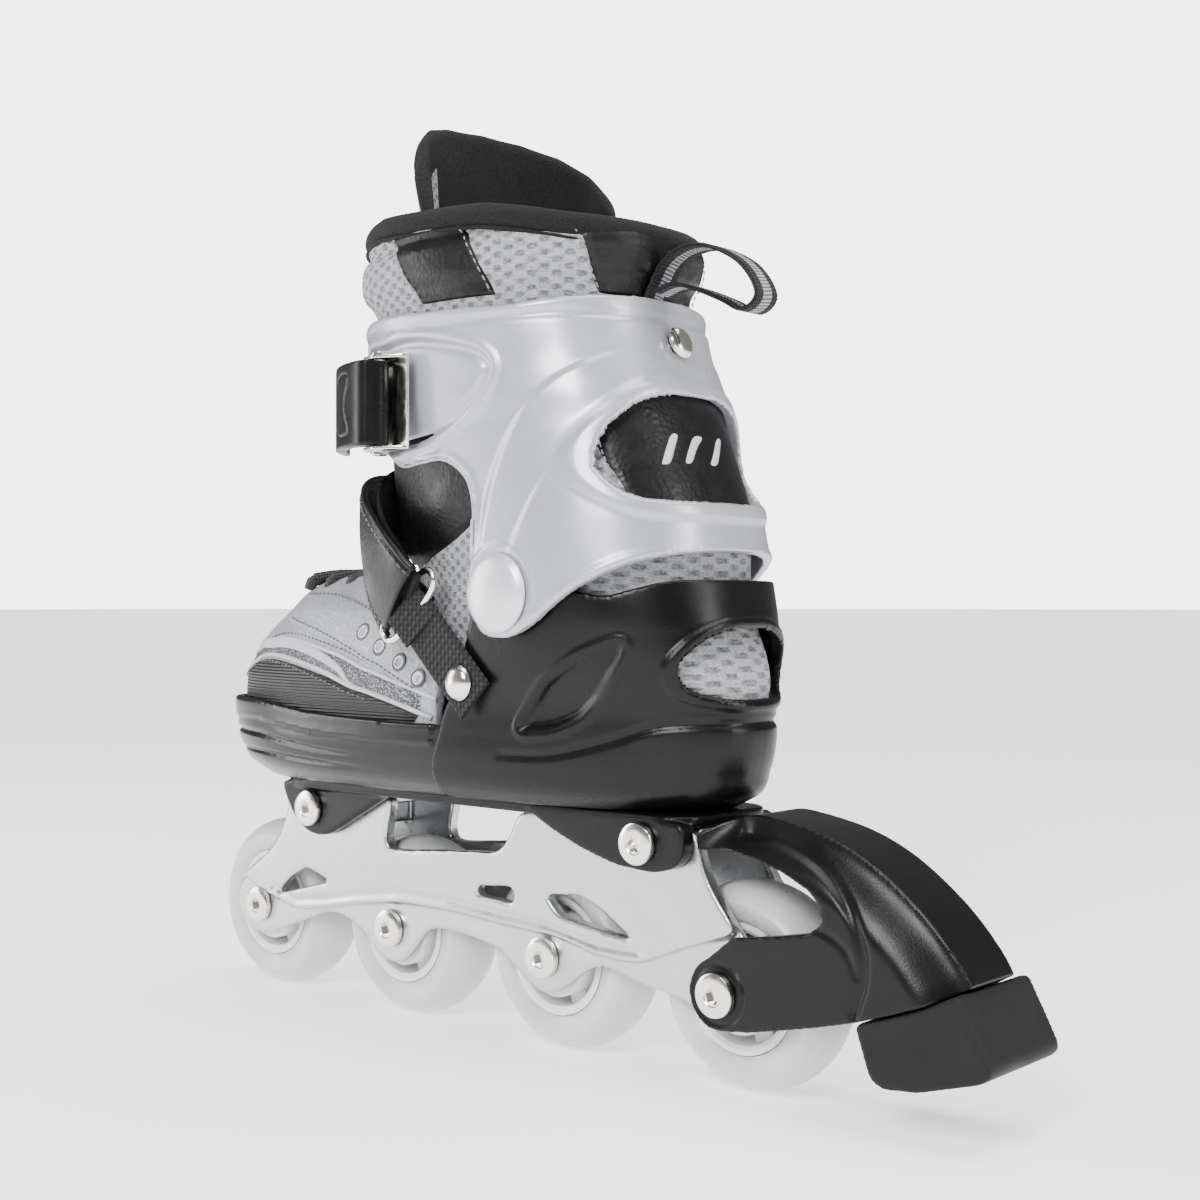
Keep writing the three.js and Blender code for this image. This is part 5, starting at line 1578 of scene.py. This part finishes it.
def make_instep_webbing():
    line = spline(WEBBING, 8)
    obj = strap("instep_ribbon", line, 17.6, 1.7, out=(0, 1, 0))
    finish_piece(obj, "webbing", "chassis", "instep_webbing", slot="webbing")
    fold = [(-13, 47.4, 139.8), (-8.6, 47.9, 144.4), (-5.2, 48.2, 147.9), (-3.9, 46.6, 149.2),
            (-5.4, 44.9, 147.6), (-9, 44.6, 144)]
    looped = strap("ribbon_fold", spline(fold, 6), 17.2, 1.2, out=(0.01, 1, 0.2))
    finish_piece(looped, "webbing", "chassis", slot="webbing")


def make_strap_ring():
    long, short = 15.5, 4.6
    centre = np.array([-5.5, 46.6, 147.6])
    major, minor = np.array([0.74, 0, -0.67]), np.array([0.67, 0, 0.74])
    points = []
    for t in np.linspace(0, 2 * math.pi, 72, endpoint=False):
        c, s = math.cos(t), math.sin(t)
        a = long * math.copysign(abs(c) ** 0.55, c)
        b = short * math.copysign(abs(s) ** 0.8, s)
        points.append(centre + major * a + minor * b)
    obj = cord("strap_loop_wire", np.array(points + points[:1]), 1.15, 14, out=(0, 1, 0))
    finish_piece(obj, "nickel", "chassis", "strap_ring", slot="nickel")


def dome(radius, foot, rise, low, high, steps):
    """A dome's profile between two angles above its foot."""
    angles = np.radians(np.linspace(low, high, steps))
    return [(radius * math.cos(a), foot + rise * math.sin(a)) for a in angles]


def make_dome_rivet(name, side, face, node):
    profile = [(0.01, face - 4.9), (2, face - 4.9), (2, face), (5.6, face), (5.7, face + 0.5)]
    profile += dome(5.4, face + 0.6, 2.4, 8, 86, 10)
    profile = [(radius, side * along) for radius, along in profile] + [(0.01, side * (face + 3.0))]
    obj = turned(name, profile, RIVET, 48)
    return finish_piece(obj, "nickel", "chassis", node, slot="nickel")


def make_rear_rivet():
    """The domed rivet in the middle of the cuff's back, tilted with the cuff's slope."""
    profile = [(0.01, -4), (2.2, -4), (2.2, 0), (5.2, 0), (5.3, 0.5)]
    profile += [*dome(5.0, 0.6, 2.0, 8, 86, 10), (0.01, 2.6)]
    obj = turned("cuff_back_rivet", profile, (0, 0), 48, axis="z")
    low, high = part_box("cuff_rear_rivet")
    spot = (low + high) / 2
    turn = Matrix.Rotation(math.radians(-72), 4, "Y")
    origin = Vector(place(0, 0, 0))
    obj.data.transform(Matrix.Translation(spot) @ turn @ Matrix.Translation(-origin))
    return finish_piece(obj, "nickel", "cuff", "cuff_rear_rivet", slot="nickel")


def make_pull_loop():
    line = spline(PULL, 8)
    across = np.cross(np.array([0.0, 1.0, 0.0]), np.gradient(line, axis=0))
    obj = strap("heel_pull_ribbon", line, 12, 1.25, out=lambda _: across)
    finish_piece(obj, "loop_ribbon", "cuff", "pull_loop", slot="webbing")


def turned_plan(name, outline, low, high, turn):
    """A plate drawn in plan about the buckle's pin, swung by some degrees."""
    c, s = math.cos(math.radians(turn)), math.sin(math.radians(turn))
    moved = [(BUCKLE_PIVOT[0] + x * c - y * s, BUCKLE_PIVOT[1] + x * s + y * c) for x, y in outline]
    return prism(name, moved, BUCKLE_PIVOT[2] + low, BUCKLE_PIVOT[2] + high, axis="z")


def make_buckle():
    back = [(-12, -5), (14, -5), (14, -4.2), (-12, -4.2)]
    ear = rounded([(-12, -5), (14, -5), (8, 1), (3, 4.5), (-4, 4.5), (-9, 0), (-12, -3)], 1.2, 3)
    plates = [turned_plan("plate", back, -15.4, 15.4, BASE_TURN),
              turned_plan("ear", ear, 14.4, 15.4, BASE_TURN),
              turned_plan("ear", ear, -15.4, -14.4, BASE_TURN)]
    base = bevel(join("buckle_channel", plates), 0.22)
    finish_piece(base, "nickel", "cuff", "buckle_base", slot="nickel")
    profile = [(0.01, -17), (2.3, -17), (2.6, -16.7), (2.6, -15.9), (1.8, -15.7), (1.8, 15.7),
               (2.6, 15.9), (2.6, 16.7), (2.3, 17), (0.01, 17)]
    profile = [(radius, along + BUCKLE_PIVOT[2]) for radius, along in profile]
    pin = turned("buckle_hinge_pin", profile, BUCKLE_PIVOT[:2], 32, axis="z")
    finish_piece(pin, "nickel", "cuff", "buckle_pin", slot="nickel")
    outline = spline([(-3.8, 3.6), (-3.2, 6.4), (2, 8.6), (14, 9.4), (28, 7), (40, 1.2), (41.5, -1),
                      (39.5, -1.4), (28, 3.2), (14, 5.4), (6, 4.4), (4.6, 0), (2, -2.6), (-2, -2.6),
                      (-3.8, 0)], 4, closed=True)
    lever = turned_plan("buckle_handle", outline, -14, 14, LEVER_TURN)
    drill = prism("drill", circle(BUCKLE_PIVOT[:2], 2.05, 24), 190, 240, axis="z")
    cut(lever, drill)
    remesh(lever, 0.6, 3)

    def engraved(points, normals):
        """A sunk arc outline on the handle's broad face."""
        c, s = math.cos(math.radians(-LEVER_TURN)), math.sin(math.radians(-LEVER_TURN))
        dx, dy = points[:, 0] - BUCKLE_PIVOT[0], points[:, 1] - BUCKLE_PIVOT[1]
        along, high = dx * c - dy * s, points[:, 2] - BUCKLE_PIVOT[2]
        face = ease(normals[:, 1], 0.4, 0.8)
        ring = spline([(6, 9), (16, 10), (27, 6), (31, 0), (27, -6), (16, -10), (6, -9), (10, 0)], 6, True)
        gap = np.abs(outline_distance(np.column_stack([along, high]), ring))
        return -0.45 * (1 - ease(gap, 0.1, 0.9)) * face

    sculpt(lever, engraved)
    finish_piece(lever, "black", "lever", "buckle_lever", slot="black_plastic")


def make_ladder_strap():
    line = spline(LADDER, 10)
    obj = strap("ladder_strap_band", line, 19.6, 2.0)
    finish_piece(obj, "black", "cuff", "ladder_strap", slot="black_plastic")
    teeth = []
    frames = frames_along(resample(line[:46], 2.4))
    for point, side, face in zip(*frames):
        bar = np.array([point + side * t + face * 0.95 for t in np.linspace(-5.5, 5.5, 8)])
        teeth.append(cord("tooth", bar, 0.8, 8, out=face))
    ridges = [cord("ridge", edge_line(line, 19.6, 0.95, share), 0.55, 8) for share in (-0.8, 0.8)]
    detail = join("ladder_teeth", [*teeth, *ridges])
    finish_piece(detail, "black", "cuff")


# ---------------------------------------------------------------- floor, light and camera

CAMERA_AT = (-425.7, 422.0, 147.7)
CAMERA_YAW = -0.84125
CAMERA_PITCH = 0.0033
CAMERA_FOCAL = 1703.3 / 1200 * 36
AMBIENT = 0.26
FLOOR_GLOW = 0.92
BACKDROP = 6.0
FLOOR_HALF = 60000
SKY_POWER, SKY_ANGLE = 3.4, 50
LIGHTS = [  # name, place, aim, size in metres, watts
    ("key_light", (-350, 1100, 900), (-20, 0, 130), (0.5, 0.6), 26),
    ("fill_light", (-1300, -300, 600), (-20, 0, 120), (0.35, 0.9), 12),
    ("front_light", (1100, 700, 400), (60, 0, 120), (0.4, 0.8), 9),
]


def make_camera():
    data = bpy.data.cameras.new("camera")
    data.sensor_fit = "HORIZONTAL"
    data.sensor_width = 36
    data.lens = CAMERA_FOCAL
    data.clip_start = 0.01
    camera = bpy.data.objects.new("camera", data)
    camera.location = place(*CAMERA_AT)
    ahead = Vector((math.cos(CAMERA_PITCH) * math.cos(CAMERA_YAW),
                    math.cos(CAMERA_PITCH) * math.sin(CAMERA_YAW), math.sin(CAMERA_PITCH)))
    camera.rotation_euler = ahead.to_track_quat("-Z", "Y").to_euler()
    bpy.context.scene.collection.objects.link(camera)
    bpy.context.scene.camera = camera


def add_area(name, at, aim, size, power):
    data = bpy.data.lights.new(name, "AREA")
    data.shape = "RECTANGLE"
    data.size, data.size_y = size
    data.energy = power
    lamp = bpy.data.objects.new(name, data)
    lamp.location = place(*at)
    direction = Vector(place(*aim)) - lamp.location
    lamp.rotation_euler = direction.to_track_quat("-Z", "Y").to_euler()
    bpy.context.scene.collection.objects.link(lamp)


def make_stage():
    world = bpy.data.worlds.new("studio")
    bpy.context.scene.world = world
    world.use_nodes = True
    tree = world.node_tree
    tree.nodes["Background"].inputs["Color"].default_value = (1, 1, 1, 1)
    tree.nodes["Background"].inputs["Strength"].default_value = AMBIENT
    backdrop = tree.nodes.new("ShaderNodeBackground")
    backdrop.inputs["Strength"].default_value = BACKDROP
    pick, path = tree.nodes.new("ShaderNodeMixShader"), tree.nodes.new("ShaderNodeLightPath")
    tree.links.new(path.outputs["Is Camera Ray"], pick.inputs["Fac"])
    tree.links.new(tree.nodes["Background"].outputs[0], pick.inputs[1])
    tree.links.new(backdrop.outputs[0], pick.inputs[2])
    tree.links.new(pick.outputs[0], tree.nodes["World Output"].inputs["Surface"])
    paint = Paint("studio_floor", (0.9, 0.9, 0.905), 0.6, Emission_Strength=FLOOR_GLOW)
    paint.shader.inputs["Emission Color"].default_value = (1, 1, 1, 1)
    paint.colours(paint.noise(3, 2), (0.88, 0.88, 0.885), (0.92, 0.92, 0.925))
    corners = [(x * FLOOR_HALF, y * FLOOR_HALF, 0) for x, y in ((-1, -1), (1, -1), (1, 1), (-1, 1))]
    floor = mesh_object("studio_floor", corners, [(0, 1, 2, 3)])
    floor.data.materials.append(paint.material)
    for light in LIGHTS:
        add_area(*light)
    data = bpy.data.lights.new("sky_panel", "SUN")
    data.energy, data.angle = SKY_POWER, math.radians(SKY_ANGLE)
    sun = bpy.data.objects.new("sky_panel", data)
    sun.rotation_euler = (math.radians(8), math.radians(-10), 0)
    bpy.context.scene.collection.objects.link(sun)


make_camera()
make_stage()

make_wheels()
make_frame()
make_brake_arm()
make_brake_pad()
make_brake_screw()

make_rear_shell()
make_toe_shell()
make_sole_plate()
make_size_button()
make_cuff()
make_cuff_pivot(1)
make_cuff_pivot(-1)

make_heel_skin()
make_collar()
make_ankle_lining()
make_heel_patch()
make_toe_upper()
make_toe_panels()
make_eyestays()
make_tongue()
make_insole()
make_lace()

make_instep_strap()
make_instep_webbing()
make_strap_ring()
make_dome_rivet("strap_rivet_dome_left", 1, 46, "strap_rivet_left")
make_dome_rivet("strap_rivet_dome_right", -1, 49.8, "strap_rivet_right")
make_rear_rivet()
make_pull_loop()
make_buckle()
make_ladder_strap()
